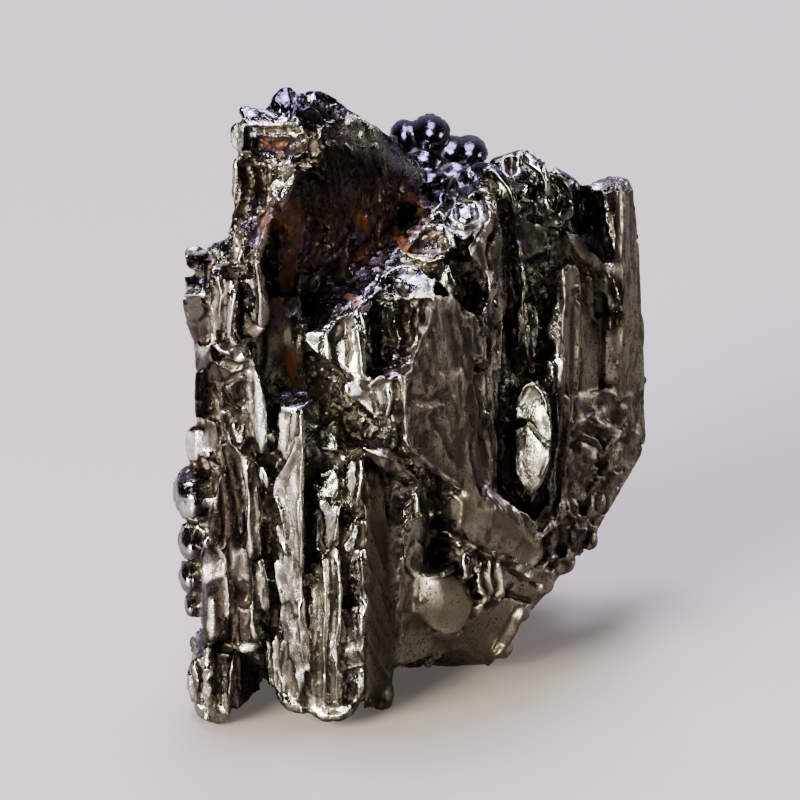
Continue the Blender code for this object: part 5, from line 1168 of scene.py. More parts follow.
def crystal_relief_tree():
    """Raise, tilt and part the skin in upright crystal cells."""
    tree, sizes, out = new_tree("crystal_relief", {
        "Cell Width": 1.3, "Cell Height": 3.0, "Wander": 0.5, "Step": 0.25, "Tilt": 0.25,
        "Crease Depth": 0.3, "Crease Width": 0.12, "Swell": 0.0, "Seed": 0.0})
    position = tree.nodes.new("GeometryNodeInputPosition").outputs[0]
    normal = tree.nodes.new("GeometryNodeInputNormal").outputs[0]
    cell = add_node(tree, "ShaderNodeCombineXYZ", {
        "X": sizes["Cell Width"], "Y": sizes["Cell Width"], "Z": sizes["Cell Height"]}).outputs[0]
    grid = vector_calc(tree, "DIVIDE", position, cell)
    wander = add_node(tree, "ShaderNodeTexNoise", {
        "Vector": grid, "W": sizes["Seed"], "Scale": 1.6, "Detail": 2.0}, noise_dimensions="4D")
    sway = vector_calc(tree, "SUBTRACT", wander.outputs["Color"], (0.5, 0.5, 0.5))
    sway = vector_calc(tree, "MULTIPLY", sway, same_size(tree, sizes["Wander"]))
    grid = vector_calc(tree, "ADD", grid, sway)
    cells = add_node(tree, "ShaderNodeTexVoronoi", {
        "Vector": grid, "W": sizes["Seed"], "Scale": 1.0}, voronoi_dimensions="4D")
    edges = add_node(tree, "ShaderNodeTexVoronoi", {
        "Vector": grid, "W": sizes["Seed"], "Scale": 1.0}, voronoi_dimensions="4D",
        feature="DISTANCE_TO_EDGE")
    chance = vector_calc(tree, "SUBTRACT", cells.outputs["Color"], (0.5, 0.5, 0.5))
    first_chance = add_node(tree, "ShaderNodeSeparateXYZ", {0: chance}).outputs[0]
    lift = calc(tree, "SUBTRACT", first_chance, 0.5)
    away = vector_calc(tree, "SUBTRACT", grid, cells.outputs["Position"])
    tilt = vector_calc(tree, "DOT_PRODUCT", away, chance)
    crease = add_node(tree, "ShaderNodeMapRange", {
        "Value": edges.outputs["Distance"], "From Max": sizes["Crease Width"],
        "To Min": 1.0, "To Max": 0.0}, interpolation_type="SMOOTHSTEP").outputs[0]
    height = calc(tree, "MULTIPLY", lift, sizes["Step"])
    height = calc(tree, "MULTIPLY_ADD", tilt, calc(tree, "MULTIPLY", sizes["Tilt"], 4.0), height)
    height = calc(tree, "SUBTRACT", height, calc(tree, "MULTIPLY", crease, sizes["Crease Depth"]))
    calm_share = add_node(tree, "GeometryNodeInputNamedAttribute", {"Name": "calm"},
                          data_type="FLOAT").outputs[0]
    height = calc(tree, "MULTIPLY", height, calc(tree, "SUBTRACT", 1.0, calm_share))
    waves = add_node(tree, "ShaderNodeTexNoise", {
        "Vector": position, "W": sizes["Seed"], "Scale": 0.55, "Detail": 0.0,
        "Distortion": 0.5}, noise_dimensions="4D").outputs[0]
    swell = calc(tree, "MULTIPLY", calc(tree, "SUBTRACT", waves, 0.5), sizes["Swell"])
    height = calc(tree, "MULTIPLY_ADD", swell, calc(tree, "SUBTRACT", 1.15, calm_share), height)
    offset = add_node(tree, "ShaderNodeVectorMath", {0: normal, "Scale": height},
                      operation="SCALE").outputs["Vector"]
    moved = add_node(tree, "GeometryNodeSetPosition", {
        "Geometry": sizes["Geometry"], "Offset": offset})
    finish_tree(tree, moved.outputs[0], out)
    return tree


relief_tree = crystal_relief_tree()
RELIEF_SMOOTHING = 2
LAYERS = {
    "broad": {"Cell Width": 1.5, "Cell Height": 3.4, "Wander": 0.9, "Step": 0.30, "Tilt": 0.10,
              "Crease Depth": 0.2, "Crease Width": 0.10, "Swell": 0.45, "Seed": 3.0},
    "fine": {"Cell Width": 0.6, "Cell Height": 1.3, "Wander": 1.1, "Step": 0.12, "Tilt": 0.05,
             "Crease Depth": 0.10, "Crease Width": 0.14, "Swell": 0.0, "Seed": 8.0},
}
for name, values in LAYERS.items():
    layer = skin.modifiers.new(name, "NODES")
    layer.node_group = relief_tree
    set_inputs(layer, values)
add_smoothing(skin, "soften", RELIEF_SMOOTHING)
skin_mesh = finished(skin, "relief_skin")

# %% [markdown]
# ## Thinning
#
# The small cells make over a million triangles, and most lie on faces that are
# nearly flat. Decimate takes those out and keeps the creases and crests. It first
# works on the sides that the sheet doesn't show, where the detail is broader, and
# then on the whole skin, so that the carved front stays the finest.

# %% Thin the skin
SKIN_TRIANGLES = 195000     # what the whole skin is thinned to
HIDDEN_PAST_EDGE = 2.0      # keeps faces just past the outline out of the first pass
HIDDEN_SMOOTHING = 6        # rounds the unseen sides, where no stroke sharpens them
HIDDEN_TRIANGLES = 90000    # what the first pass leaves on the unseen sides
TURNED_AWAY = 0.05          # a vertex seen less than this is on an unseen side


def thinned(piece, target, group=""):
    """Collapse edges down to the target count, only within the group where one is given."""
    count = sum(len(face.vertices) - 2 for face in piece.data.polygons)
    thin = piece.modifiers.new("thin", "DECIMATE")
    thin.ratio = min(1.0, target / count)
    thin.use_collapse_triangulate = True
    thin.vertex_group = group
    mesh = finished(piece, "thinned_skin")
    print("triangles:", count, "thinned to", len(mesh.polygons))
    return mesh


points, normals = read_vertices(skin_mesh)
seen, near_front = seen_from_front(points, normals, past_edge=HIDDEN_PAST_EDGE)
away = seen < TURNED_AWAY
hidden = skin.vertex_groups.new(name="hidden")
hidden.add(np.nonzero(away)[0].tolist(), 1.0, "REPLACE")
add_smoothing(skin, "settle", HIDDEN_SMOOTHING, group="hidden")
skin_mesh = finished(skin, "settled_skin")
front_triangles = sum(len(face.vertices) - 2 for face in skin_mesh.polygons
                      if not away[list(face.vertices)].all())
thinned(skin, front_triangles + HIDDEN_TRIANGLES, group="hidden")
skin_mesh = thinned(skin, SKIN_TRIANGLES)
skin.vertex_groups.clear()

# %% [markdown]
# ## One closed skin
#
# Voxels can leave specks of a few faces that don't hang on the skin. A real lump
# has no such crumbs, and they would spoil a print, so only the largest connected
# island is kept. The count of open edges then shows whether it is closed.

# %% Keep the largest island
def connected_islands(solid):
    """The vertices of a mesh in connected sets, the largest last."""
    islands, known = [], set()
    for start in solid.verts:
        if start in known:
            continue
        island, waiting = {start}, [start]
        while waiting:
            for edge in waiting.pop().link_edges:
                for vert in edge.verts:
                    if vert not in island:
                        island.add(vert)
                        waiting.append(vert)
        known |= island
        islands.append(island)
    return sorted(islands, key=len)


closed = bmesh.new()
closed.from_mesh(skin_mesh)
specks = connected_islands(closed)[:-1]
bmesh.ops.delete(closed, geom=[vert for speck in specks for vert in speck], context="VERTS")
open_edges = sum(not edge.is_manifold for edge in closed.edges)
closed.to_mesh(skin_mesh)
closed.free()
print("specks removed:", len(specks), "open edges:", open_edges,
      "triangles kept:", len(skin_mesh.polygons))
print("faces mended by validate:", skin_mesh.validate())
points, normals = read_vertices(skin_mesh)
seen, near_front = seen_from_front(points, normals)
print("vertices seen from the front:", round(100 * float(seen.mean())), "%")

# %% [markdown]
# ## Hollows and crests
#
# Polishing wears the crests bright, and oxide stays in the hollows, where its dark
# colour also paints part of the shade. Blurring the places of the vertices and looking
# how far each one moved tells them apart, once at a fine reach for creases and once
# at a wide one for whole clefts.

# %% Read hollows and crests
HOLLOW_REACH = {"hollow_fine": 6, "hollow_wide": 80}    # rounds of blurring


def hollow_tree():
    """Store how deep each vertex lies in a hollow, at a fine and a wide reach."""
    tree, sizes, out = new_tree("read_hollows", {})
    position = tree.nodes.new("GeometryNodeInputPosition").outputs[0]
    normal = tree.nodes.new("GeometryNodeInputNormal").outputs[0]
    geometry = sizes["Geometry"]
    for name, rounds in HOLLOW_REACH.items():
        blurred = add_node(tree, "GeometryNodeBlurAttribute", {
            "Value": position, "Iterations": rounds}, data_type="FLOAT_VECTOR").outputs[0]
        inward = vector_calc(tree, "SUBTRACT", blurred, position)
        depth = vector_calc(tree, "DOT_PRODUCT", inward, normal)
        geometry = add_node(tree, "GeometryNodeStoreNamedAttribute", {
            "Geometry": geometry, "Name": name, "Value": depth}, data_type="FLOAT").outputs[0]
    finish_tree(tree, geometry, out)
    return tree


reader = skin.modifiers.new("hollows", "NODES")
reader.node_group = hollow_tree()
skin_mesh = finished(skin, "read_skin")
for name in HOLLOW_REACH:
    values = np.empty(len(skin_mesh.vertices))
    skin_mesh.attributes[name].data.foreach_get("value", values)
    print(name, "percentiles:", np.round(np.percentile(values, (2, 10, 25, 50, 75, 90, 98)), 3))

# %% [markdown]
# ## Patina, painted shade and painted highlights
#
# The metal isn't one colour. Some faces kept a dark skin, and dark patches also paint
# shade where a face should look darker than the lights make it. Violet patches paint
# a lavender reflection of the light above, the hollow behind the ridge is rusty,
# bright patches paint highlights by taking the darkening off, and the right side is
# satin. Each patch is kept as an attribute of the skin.

# %% Patina and painted light patches
# Dark skin, and painted shade where a face should look darker than the lights make it.
SHADE_AND_DARK_SKIN_PATCHES = {
    "cap": Patch(9, 1, "195,264 208,264"),
    "cap_2": Patch(10, 0.9, "192,318 204,318"),
    "under": Patch(9, 1, "196,334 208,334"),
    "waist": Patch(14, 1, "202,366 204,400 206,420"),
    "boulder": Patch(8, 0.7, "222,368 236,374"),
    "hood": Patch(9, 0.7, "230,254 238,256"),
    "waist_2": Patch(9, 0.8, "240,388 242,400"),
    "waist_3": Patch(9, 0.6, "226,432 240,448"),
    "central": Patch(6, 0.7, "285,425 283,450"),
    "central_2": Patch(6, 0.8, "296,655 300,664"),
    "low": Patch(6, 0.9, "316,655 316,682"),
    "heel": Patch(14, 1, "250,670 252,690"),
    "corner": Patch(7, 0.8, "350,466 350,486"),
    "corner_2": Patch(14, 0.6, "380,520 382,690"),
    "peak": Patch(50, 1, "330,190 380,210"),
    "right": Patch(8, 0.8, "322,515 328,545"),
    "trunk": Patch(20, 0.9, "232,480 240,530"),
    "scoop": Patch(16, 0.7, "384,312 396,334 390,360"),
    "scoop_2": Patch(11, 1, "408,312 412,340"),
    "shaft": Patch(18, 1, "256,172 252,200 248,226"),
    "hollow": Patch(10, 0.9, "262,148 290,150"),
    "peak_2": Patch(16, 0.9, "282,104 312,108 336,120"),
    "lobes": Patch(24, 1, "406,140 434,138 468,160 440,184"),
    "terrace": Patch(30, 0.9, "300,260 350,250 400,215"),
    "beak": Patch(8, 0.8, "343,330 346,352"),
    "slab": Patch(14, 1, "590,205 594,240"),
    "first": Patch(9, 0.8, "510,230 512,300 514,345"),
    "recess": Patch(16, 0.9, "440,500 436,550"),
    "trunk_2": Patch(30, 1, "224,480 228,560 232,636"),
    "cleft": Patch(22, 0.8, "284,230 284,290"),
    "flank": Patch(6, 0.7, "470,320 474,400 482,470"),
    "cleft_2": Patch(14, 0.5, "276,324 276,345"),
    "cleft_3": Patch(12, 0.8, "284,362 298,376"),
    "flute": Patch(10, 0.8, "308,372 350,420"),
    "cap_3": Patch(12, 0.6, "192,264 206,264 226,256 240,252"),
    "knob": Patch(6, 0.6, "470,620 458,634"),
    "brow": Patch(24, 0.8, "500,176 530,186 556,200"),
    "small": Patch(14, 0.8, "384,694"),
    "peak_3": Patch(14, 0.9, "308,130 320,136"),
    "pillar": Patch(18, 0.9, "199,262 203,330"),
    "hood_2": Patch(24, 0.8, "236,262 236,335"),
    "waist_4": Patch(24, 0.9, "222,368 232,450"),
    "bulge": Patch(16, 0.6, "196,480 192,560 192,600"),
    "right_2": Patch(14, 0.6, "326,440 326,540"),
    "leaf": Patch(5, 0.8, "542,404 546,422 / 518,428 520,446"),
    "leaf_2": Patch(6, 0.8, "544,448 538,472"),
    "peak_4": Patch(13, 1, "262,104 282,98 300,112"),
    "pillar_2": Patch(10, 0.9, "222,476 228,560"),
    "tall": Patch(13, 0.2, "632,200 633,390"),
    "leaf_3": Patch(6, 0.7, "524,466 530,488"),
}
# Painted lavender reflection of the light above, on faces that turn up.
LAVENDER_REFLECTION_PATCHES = {
    "central": Patch(10, 1, "288,400 304,399"),
    "cap": Patch(9, 0.8, "196,282 202,282"),
    "hood": Patch(8, 0.8, "257,240"),
    "bulges": Patch(16, 0.4, "192,480 190,600"),
    "under": Patch(7, 0.8, "222,275 240,274"),
    "right": Patch(6, 0.8, "326,424"),
    "corner": Patch(6, 0.8, "353,675"),
    "slab": Patch(14, 0.8, "588,208 594,236"),
    "lobes": Patch(26, 0.6, "406,140 434,138 468,160 440,184"),
    "peak": Patch(15, 0.6, "250,116 284,106 314,106 336,118"),
    "hollow": Patch(10, 0.9, "262,148 290,152"),
    "terrace": Patch(24, 0.7, "320,312 350,280 376,256"),
    "crest": Patch(12, 0.7, "350,312 380,284 410,276"),
    "scoop": Patch(10, 0.8, "398,354 404,358"),
    "hump": Patch(14, 0.6, "452,214 470,216"),
    "shaft": Patch(14, 0.6, "266,214 256,226"),
    "lens": Patch(8, 0.8, "366,440 388,446"),
    "beak": Patch(8, 0.8, "310,330 336,314"),
    "recess": Patch(8, 0.9, "428,566 448,562"),
    "curl": Patch(6, 0.8, "487,486 498,503"),
}
RUST_PATCHES = {
    "terrace": Patch(34, 0.2, "300,262 350,242 392,222"),
    "fleck": Patch(5, 1, "281,222 291,232 / 360,220 369,228 / 411,198 419,206 / 398,240 408,252"),
    "fleck_2": Patch(4, 1, "355,262 362,252 373,245"),
    "fleck_3": Patch(4, 0.8, "350,298 356,304"),
    "cleft": Patch(6, 1, "292,354 298,382"),
    "rib": Patch(4, 0.9, "521,360 524,376"),
    "hollow": Patch(7, 0.5, "268,147 284,151"),
    "cleft_2": Patch(20, 0.6, "284,225 284,290"),
}
# Painted highlights: these take the darkening off so the clean metal shows bright.
PAINTED_HIGHLIGHT_PATCHES = {
    "central": Patch(12, 0.6, "296,420 292,520"),
    "blade": Patch(8, 1, "256,370 264,440"),
    "twin": Patch(14, 1, "332,570 332,700"),
    "leaf": Patch(15, 0.2, "531,396 532,470"),
    "slab": Patch(8, 1, "611,200 617,238"),
    "slab_2": Patch(6, 1, "558,272 559,300"),
    "nub": Patch(7, 1, "552,314 552,334"),
    "beak": Patch(8, 1, "314,346 324,350"),
    "front": Patch(6, 1, "358,320 362,378"),
    "hem": Patch(9, 1, "374,388 396,394"),
    "hem_2": Patch(8, 0.8, "350,388 362,398"),
    "strip": Patch(12, 1, "405,500 405,596"),
    "cheek": Patch(7, 1, "540,202 541,212"),
    "peak": Patch(5, 1, "250,129 300,128"),
    "bars": Patch(8, 1, "290,176 280,200"),
    "nose": Patch(6, 1, "459,498 460,524"),
    "right": Patch(10, 0.5, "326,430 330,500"),
    "rib": Patch(3, 1, "214,600 215,634 / 224,548 228,566 231,614 / 254,605 255,634 / 248,458 "
        "250,500 253,552"),
    "boss": Patch(9, 0.9, "208,570 220,566"),
    "central_2": Patch(9, 1, "286,400 304,399"),
    "knob": Patch(26, 0.8, "430,602 450,604"),
    "cap": Patch(3, 0.9, "194,249 204,248 214,252"),
    "cap_2": Patch(4, 1, "187,294 198,294 210,296"),
    "hood": Patch(3, 1, "249,232 246,246 243,260 / 266,238 260,256 258,268"),
    "flute": Patch(3, 1, "221,277 223,290 222,305"),
    "flute_2": Patch(4, 1, "238,290 236,312 233,338"),
    "flute_3": Patch(2, 0.8, "214,305 216,340"),
    "cell": Patch(5, 1, "254,320"),
    "cell_2": Patch(2, 0.8, "262,285 266,310 264,328"),
    "jaw": Patch(5, 0.7, "204,351"),
    "chin": Patch(3, 1, "221,347 229,354 238,351"),
    "chin_2": Patch(5, 1, "242,356 247,352"),
    "waist": Patch(2, 0.9, "222,411 232,411 238,432 247,453"),
    "bulge": Patch(6, 0.8, "194,434 194,454"),
    "drop": Patch(4, 1, "266,468 269,484"),
    "window": Patch(7, 1, "190,508"),
    "cheek_2": Patch(6, 0.9, "209,488 211,500"),
    "second": Patch(3, 1, "192,524 203,530 208,542"),
    "wedge": Patch(7, 0.5, "240,556 246,580"),
    "tile": Patch(4, 0.8, "242,646 254,645"),
    "brow": Patch(3, 1, "529,164 540,172 545,184 546,198 / 516,166 516,174"),
    "belly": Patch(32, 0.9, "440,650 490,625 530,590"),
    "slab_3": Patch(9, 0.7, "571,275 571,380"),
    "shoulder": Patch(20, 0.5, "586,300 590,380"),
}
SATIN_PATCHES = {
    "smooth": Patch(36, 1, "436,602 452,604"),
    "tongue": Patch(26, 1, "470,516 496,530 524,548"),
    "tall": Patch(14, 1, "632,200 633,300 634,390"),
    "slab": Patch(9, 0.8, "571,275 571,380 562,470"),
    "shoulder": Patch(22, 0.9, "584,252 588,330 588,390"),
    "right": Patch(44, 0.9, "610,420 590,480 570,540"),
    "belly": Patch(36, 0.9, "440,655 490,625 530,585"),
    "ridge": Patch(30, 0.9, "440,320 440,380 446,440 480,470"),
    "face": Patch(18, 0.8, "484,240 486,262"),
    "corner": Patch(13, 0.9, "382,510 384,690"),
    "mid": Patch(14, 0.7, "528,236 528,250"),
    "cleft": Patch(14, 1, "276,324 276,345"),
    "lens": Patch(8, 0.8, "376,456 400,468"),
    "leaf": Patch(16, 0.15, "531,396 532,480"),
}
points, normals = read_vertices(skin_mesh)
seen, near_front = seen_from_front(points, normals)
places = sheet_places(points)
for name, patches in (("shade_and_dark_skin", SHADE_AND_DARK_SKIN_PATCHES), ("painted_lavender_reflection", LAVENDER_REFLECTION_PATCHES), ("rust", RUST_PATCHES),
                      ("painted_highlight", PAINTED_HIGHLIGHT_PATCHES), ("satin", SATIN_PATCHES)):
    store(skin_mesh, name, patch_amount(places, patches) * np.clip(seen * 2, 0, 1))
    print(name, "patches:", len(patches))

bm = bmesh.new()
bm.from_mesh(skin_mesh)
bmesh.ops.scale(bm, vec=Vector((MM, MM, MM)), verts=bm.verts)
bm.to_mesh(skin_mesh)
bm.free()
skin_mesh.polygons.foreach_set("use_smooth", [True] * len(skin_mesh.polygons))

# %% [markdown]
# ## The metal
#
# Iron and nickel with a dark oxide, brown rust, painted shade and a painted lavender
# reflection. A single metallic colour would look like plastic, so the shader mixes
# clean metal, oxide, rust and the painted shade and light by the attributes that the
# skin carries.

# %% The metal
metal.use_nodes = True
shader = metal.node_tree.nodes["Principled BSDF"]
shader.inputs["Metallic"].default_value = 1.0


def ramp(tree, value, low, high, at_low, at_high):
    """A smooth change of a value from one level to another."""
    return add_node(tree, "ShaderNodeMapRange", {
        "Value": value, "From Min": low, "From Max": high, "To Min": at_low, "To Max": at_high},
        interpolation_type="SMOOTHSTEP").outputs[0]


tree = metal.node_tree


def mix_colour(tree, factor, a, b):
    """A Mix node's colour."""
    return add_node(tree, "ShaderNodeMix", {"Factor": factor, "A": a, "B": b},
                    data_type="RGBA").outputs["Result"]


def attribute(tree, name):
    """A named attribute's value."""
    return add_node(tree, "ShaderNodeAttribute", attribute_name=name).outputs["Fac"]


# %% [markdown]
# ## Etched grain
#
# Etched iron shows a lattice of fine lines, pits and small facets that flash by
# turns. They are much smaller than a triangle, so they are a node group that feeds
# only the height of a bump and the masks of the colours.

# %% Etched grain group
def etched_grain_group():
    """Shader group: the fine upright grain and pits of the etched metal, as a height."""
    tree = bpy.data.node_groups.new("etched_grain", "ShaderNodeTree")
    for name, value in (("Grain Size", 0.16), ("Stretch", 2.5), ("Pit Size", 0.22), ("Pits", 0.6),
                        ("Scribble Size", 0.55), ("Scribble", 0.5), ("Facet Size", 0.30)):
        socket = tree.interface.new_socket(name, in_out="INPUT", socket_type="NodeSocketFloat")
        socket.default_value = value
    for name in ("Height", "Pit Mask", "Facets", "Sparkle"):
        tree.interface.new_socket(name, in_out="OUTPUT", socket_type="NodeSocketFloat")
    sizes = tree.nodes.new("NodeGroupInput").outputs
    out = tree.nodes.new("NodeGroupOutput").inputs
    place = add_node(tree, "ShaderNodeTexCoord").outputs["Object"]
    place = vector_calc(tree, "MULTIPLY", place, (1 / MM, 1 / MM, 1 / MM))
    upright = add_node(tree, "ShaderNodeCombineXYZ", {
        "X": sizes["Grain Size"], "Y": sizes["Grain Size"],
        "Z": calc(tree, "MULTIPLY", sizes["Grain Size"], sizes["Stretch"])}).outputs[0]
    grain = add_node(tree, "ShaderNodeTexNoise", {
        "Vector": vector_calc(tree, "DIVIDE", place, upright), "Scale": 1.0, "Detail": 3.0,
        "Roughness": 0.6, "Distortion": 0.6}).outputs[0]
    pit_place = vector_calc(tree, "DIVIDE", place, same_size(tree, sizes["Pit Size"]))
    spots = add_node(tree, "ShaderNodeTexNoise", {
        "Vector": pit_place, "Scale": 1.0, "Detail": 2.0}).outputs[0]
    pits = ramp(tree, spots, 0.42, 0.34, 0.0, 1.0)
    tall = add_node(tree, "ShaderNodeCombineXYZ", {
        "X": sizes["Scribble Size"], "Y": sizes["Scribble Size"],
        "Z": calc(tree, "MULTIPLY", sizes["Scribble Size"], 2.0)}).outputs[0]
    swirl = add_node(tree, "ShaderNodeTexNoise", {
        "Vector": vector_calc(tree, "DIVIDE", place, tall), "Scale": 1.0, "Detail": 2.0,
        "Distortion": 0.8}).outputs[0]
    off_line = calc(tree, "ABSOLUTE", calc(tree, "SUBTRACT", swirl, 0.5))
    lines = ramp(tree, off_line, 0.006, 0.022, 1.0, 0.0)
    lines = calc(tree, "MULTIPLY", lines, ramp(tree, spots, 0.45, 0.6, 0.0, 1.0))
    height = calc(tree, "SUBTRACT", grain, calc(tree, "MULTIPLY", pits, sizes["Pits"]))
    height = calc(tree, "SUBTRACT", height, calc(tree, "MULTIPLY", lines, sizes["Scribble"]))
    tree.links.new(height, out["Height"])
    tree.links.new(calc(tree, "MAXIMUM", pits, lines), out["Pit Mask"])
    facet_place = vector_calc(tree, "DIVIDE", place, same_size(tree, sizes["Facet Size"]))
    cells = add_node(tree, "ShaderNodeTexVoronoi", {"Vector": facet_place, "Scale": 1.0})
    chance = vector_calc(tree, "SUBTRACT", cells.outputs["Color"], (0.5, 0.5, 0.5))
    away = vector_calc(tree, "SUBTRACT", facet_place, cells.outputs["Position"])
    tree.links.new(vector_calc(tree, "DOT_PRODUCT", away, chance), out["Facets"])
    luck = add_node(tree, "ShaderNodeSeparateXYZ", {0: cells.outputs["Color"]}).outputs[0]
    tree.links.new(ramp(tree, luck, 0.66, 0.72, 0.0, 1.0), out["Sparkle"])
    return tree


# %% [markdown]
# ## Colour, gloss and grain
#
# Oxide darkens and dulls the hollows and also paints part of the shade in them, worn
# crests are clean, and rust is rough. Each number here moves one look by itself,
# which makes tuning easier.

# %% The metal's colour, gloss and grain
# Painted crease shade and wear: the flat and hollow metal is darker than the crests.
CREASE_SHADE_AND_WEAR = 0.5             # how dark the flat and hollow metal is beside the polished crests
FACET_TILT = 9.0            # how far the small crystals in the hollows tilt
BACK_MOTTLE = 0.4           # how much of the front's mottling the sides and back have
CLEAN_METAL = (0.62, 0.60, 0.53, 1.0)
# Dark skin, also painted as shade where faces look too bright under the lights.
DARK_SKIN_AND_SHADE_COLOUR = (0.042, 0.035, 0.030, 1.0)
# Painted lavender reflection, not a tint of the metal.
LAVENDER_REFLECTION_COLOUR = (0.17, 0.15, 0.24, 1.0)
SATIN_TAUPE = (0.45, 0.405, 0.335, 1.0)
RUST_COLOUR = (0.22, 0.075, 0.017, 1.0)
# Oxide in the hollows, whose darkness also paints part of their shade.
OXIDE_AND_SHADE_COLOUR = (0.080, 0.062, 0.048, 1.0)
CLOUD_STRETCH = 0.45        # below 1, the clouds of the mottling stand taller than wide
POLISHED = 0.13             # roughness of clean metal
OXIDE_ROUGH = 0.45          # roughness of full oxide
EXTRA_ROUGH = {"shade_and_dark_skin": 0.05, "rust": 0.35, "satin": 0.32, "painted_lavender_reflection": -0.05}
BUMP_STRENGTH = 0.4
BUMP_DISTANCE = 0.00007     # metres
place = vector_calc(tree, "MULTIPLY", add_node(tree, "ShaderNodeTexCoord").outputs["Object"],
                    (1 / MM, 1 / MM, CLOUD_STRETCH / MM))
cloud = add_node(tree, "ShaderNodeTexNoise", {
    "Vector": place, "Scale": 1.1, "Detail": 5.0, "Roughness": 0.62}).outputs[0]
grain = add_node(tree, "ShaderNodeGroup", node_tree=etched_grain_group())
fine, wide = attribute(tree, "hollow_fine"), attribute(tree, "hollow_wide")
# Oxide in creases and clefts, which also paints part of the shade there.
oxide_and_shade = calc(tree, "MAXIMUM", ramp(tree, fine, 0.0, 0.07, 0.0, 0.9),
             ramp(tree, wide, 0.15, 0.8, 0.0, 0.9))
satin = attribute(tree, "satin")
crystal_share = calc(tree, "MULTIPLY", ramp(tree, wide, 0.12, 0.5, 0.0, 1.0),
                     calc(tree, "SUBTRACT", 1.0, satin))
oxide_and_shade = calc(tree, "MULTIPLY", oxide_and_shade, ramp(tree, satin, 0.0, 1.0, 1.0, 0.3))
oxide_and_shade = calc(tree, "MULTIPLY", oxide_and_shade, ramp(tree, grain.outputs["Sparkle"], 0.0, 1.0, 1.0, 0.45))
marks = calc(tree, "MULTIPLY", grain.outputs["Pit Mask"], ramp(tree, satin, 0.0, 1.0, 0.45, 0.85))
oxide_and_shade = calc(tree, "MAXIMUM", oxide_and_shade, marks)
mottle = calc(tree, "MULTIPLY", ramp(tree, cloud, 0.42, 0.60, 0.0, 0.75),
              ramp(tree, attribute(tree, "calm"), 0.0, 0.5, BACK_MOTTLE, 1.0))
# Painted crease shade and wear, from the fine hollows.
crease_shade_and_wear = ramp(tree, fine, -0.03, 0.015, 0.0, CREASE_SHADE_AND_WEAR)
# Painted shade, dark skin, random mottling and painted crease shade darken the metal.
shade_and_dark_skin = calc(tree, "MAXIMUM", calc(tree, "MAXIMUM", attribute(tree, "shade_and_dark_skin"), mottle), crease_shade_and_wear)
# Painted highlights take that darkening off, so the clean metal shows bright.
shade_and_dark_skin = calc(tree, "MULTIPLY", shade_and_dark_skin, calc(tree, "SUBTRACT", 1.0, attribute(tree, "painted_highlight")))
# Painted lavender reflection, patchy by the clouds.
painted_lavender_reflection = calc(tree, "MULTIPLY", attribute(tree, "painted_lavender_reflection"), ramp(tree, cloud, 0.3, 0.6, 1.0, 0.5))
rust = calc(tree, "MULTIPLY", attribute(tree, "rust"), ramp(tree, cloud, 0.38, 0.58, 0.1, 1.0))
# The colour layers: painted shade with dark skin, painted lavender reflection, then oxide that also
# paints hollow shade, and rust.
colour = mix_colour(tree, satin, CLEAN_METAL, SATIN_TAUPE)
colour = mix_colour(tree, shade_and_dark_skin, colour, DARK_SKIN_AND_SHADE_COLOUR)
colour = mix_colour(tree, painted_lavender_reflection, colour, LAVENDER_REFLECTION_COLOUR)
colour = mix_colour(tree, oxide_and_shade, colour, OXIDE_AND_SHADE_COLOUR)
colour = mix_colour(tree, rust, colour, RUST_COLOUR)
tree.links.new(colour, shader.inputs["Base Color"])
rough = ramp(tree, oxide_and_shade, 0.0, 1.0, POLISHED, OXIDE_ROUGH)
shares = {"shade_and_dark_skin": shade_and_dark_skin, "rust": rust, "satin": satin, "painted_lavender_reflection": painted_lavender_reflection}
for patina, extra in EXTRA_ROUGH.items():
    rough = calc(tree, "MULTIPLY_ADD", shares[patina], extra, rough)
tree.links.new(rough, shader.inputs["Roughness"])
dull = calc(tree, "MULTIPLY_ADD", oxide_and_shade, 0.3, calc(tree, "MULTIPLY", rust, 0.7))
tree.links.new(ramp(tree, dull, 0.0, 1.0, 1.0, 0.0), shader.inputs["Metallic"])
evenness = ramp(tree, attribute(tree, "calm"), 0.8, 1.0, 1.0, 0.15)
height = calc(tree, "MULTIPLY", grain.outputs["Height"], calc(tree, "MAXIMUM", evenness, satin))
facets = calc(tree, "MULTIPLY", grain.outputs["Facets"], FACET_TILT)
height = calc(tree, "MULTIPLY_ADD", facets, crystal_share, height)
bump = add_node(tree, "ShaderNodeBump", {
    "Height": height, "Strength": BUMP_STRENGTH, "Distance": BUMP_DISTANCE})
tree.links.new(bump.outputs[0], shader.inputs["Normal"])

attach(skin, "root")
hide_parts("meteorite")

# %% [markdown]
# ## The floor
#
# A pale sheet of paper that shows a different colour to each kind of ray. Polished
# metal shows mostly what it mirrors, and the pale floor alone would wash its front
# out. So mirrored rays see a painted shade on the right side and a brighter, lit
# paper on the left. The paper also glows a little, painted light that keeps its
# shadow pale where it is seen and lifts what the metal mirrors of it.

# %% The floor
FLOOR_SIZE = 3.0
WARM_PAPER = (0.445, 0.405, 0.365, 1.0)
# The lit paper that the metal mirrors on the left, brighter than the paper's own colour.
LIT_PAPER_IN_METAL = (0.66, 0.62, 0.60, 1.0)
# Painted shade, seen only in the metal's mirror of the right side.
SHADED_PAPER = (0.10, 0.089, 0.073, 1.0)
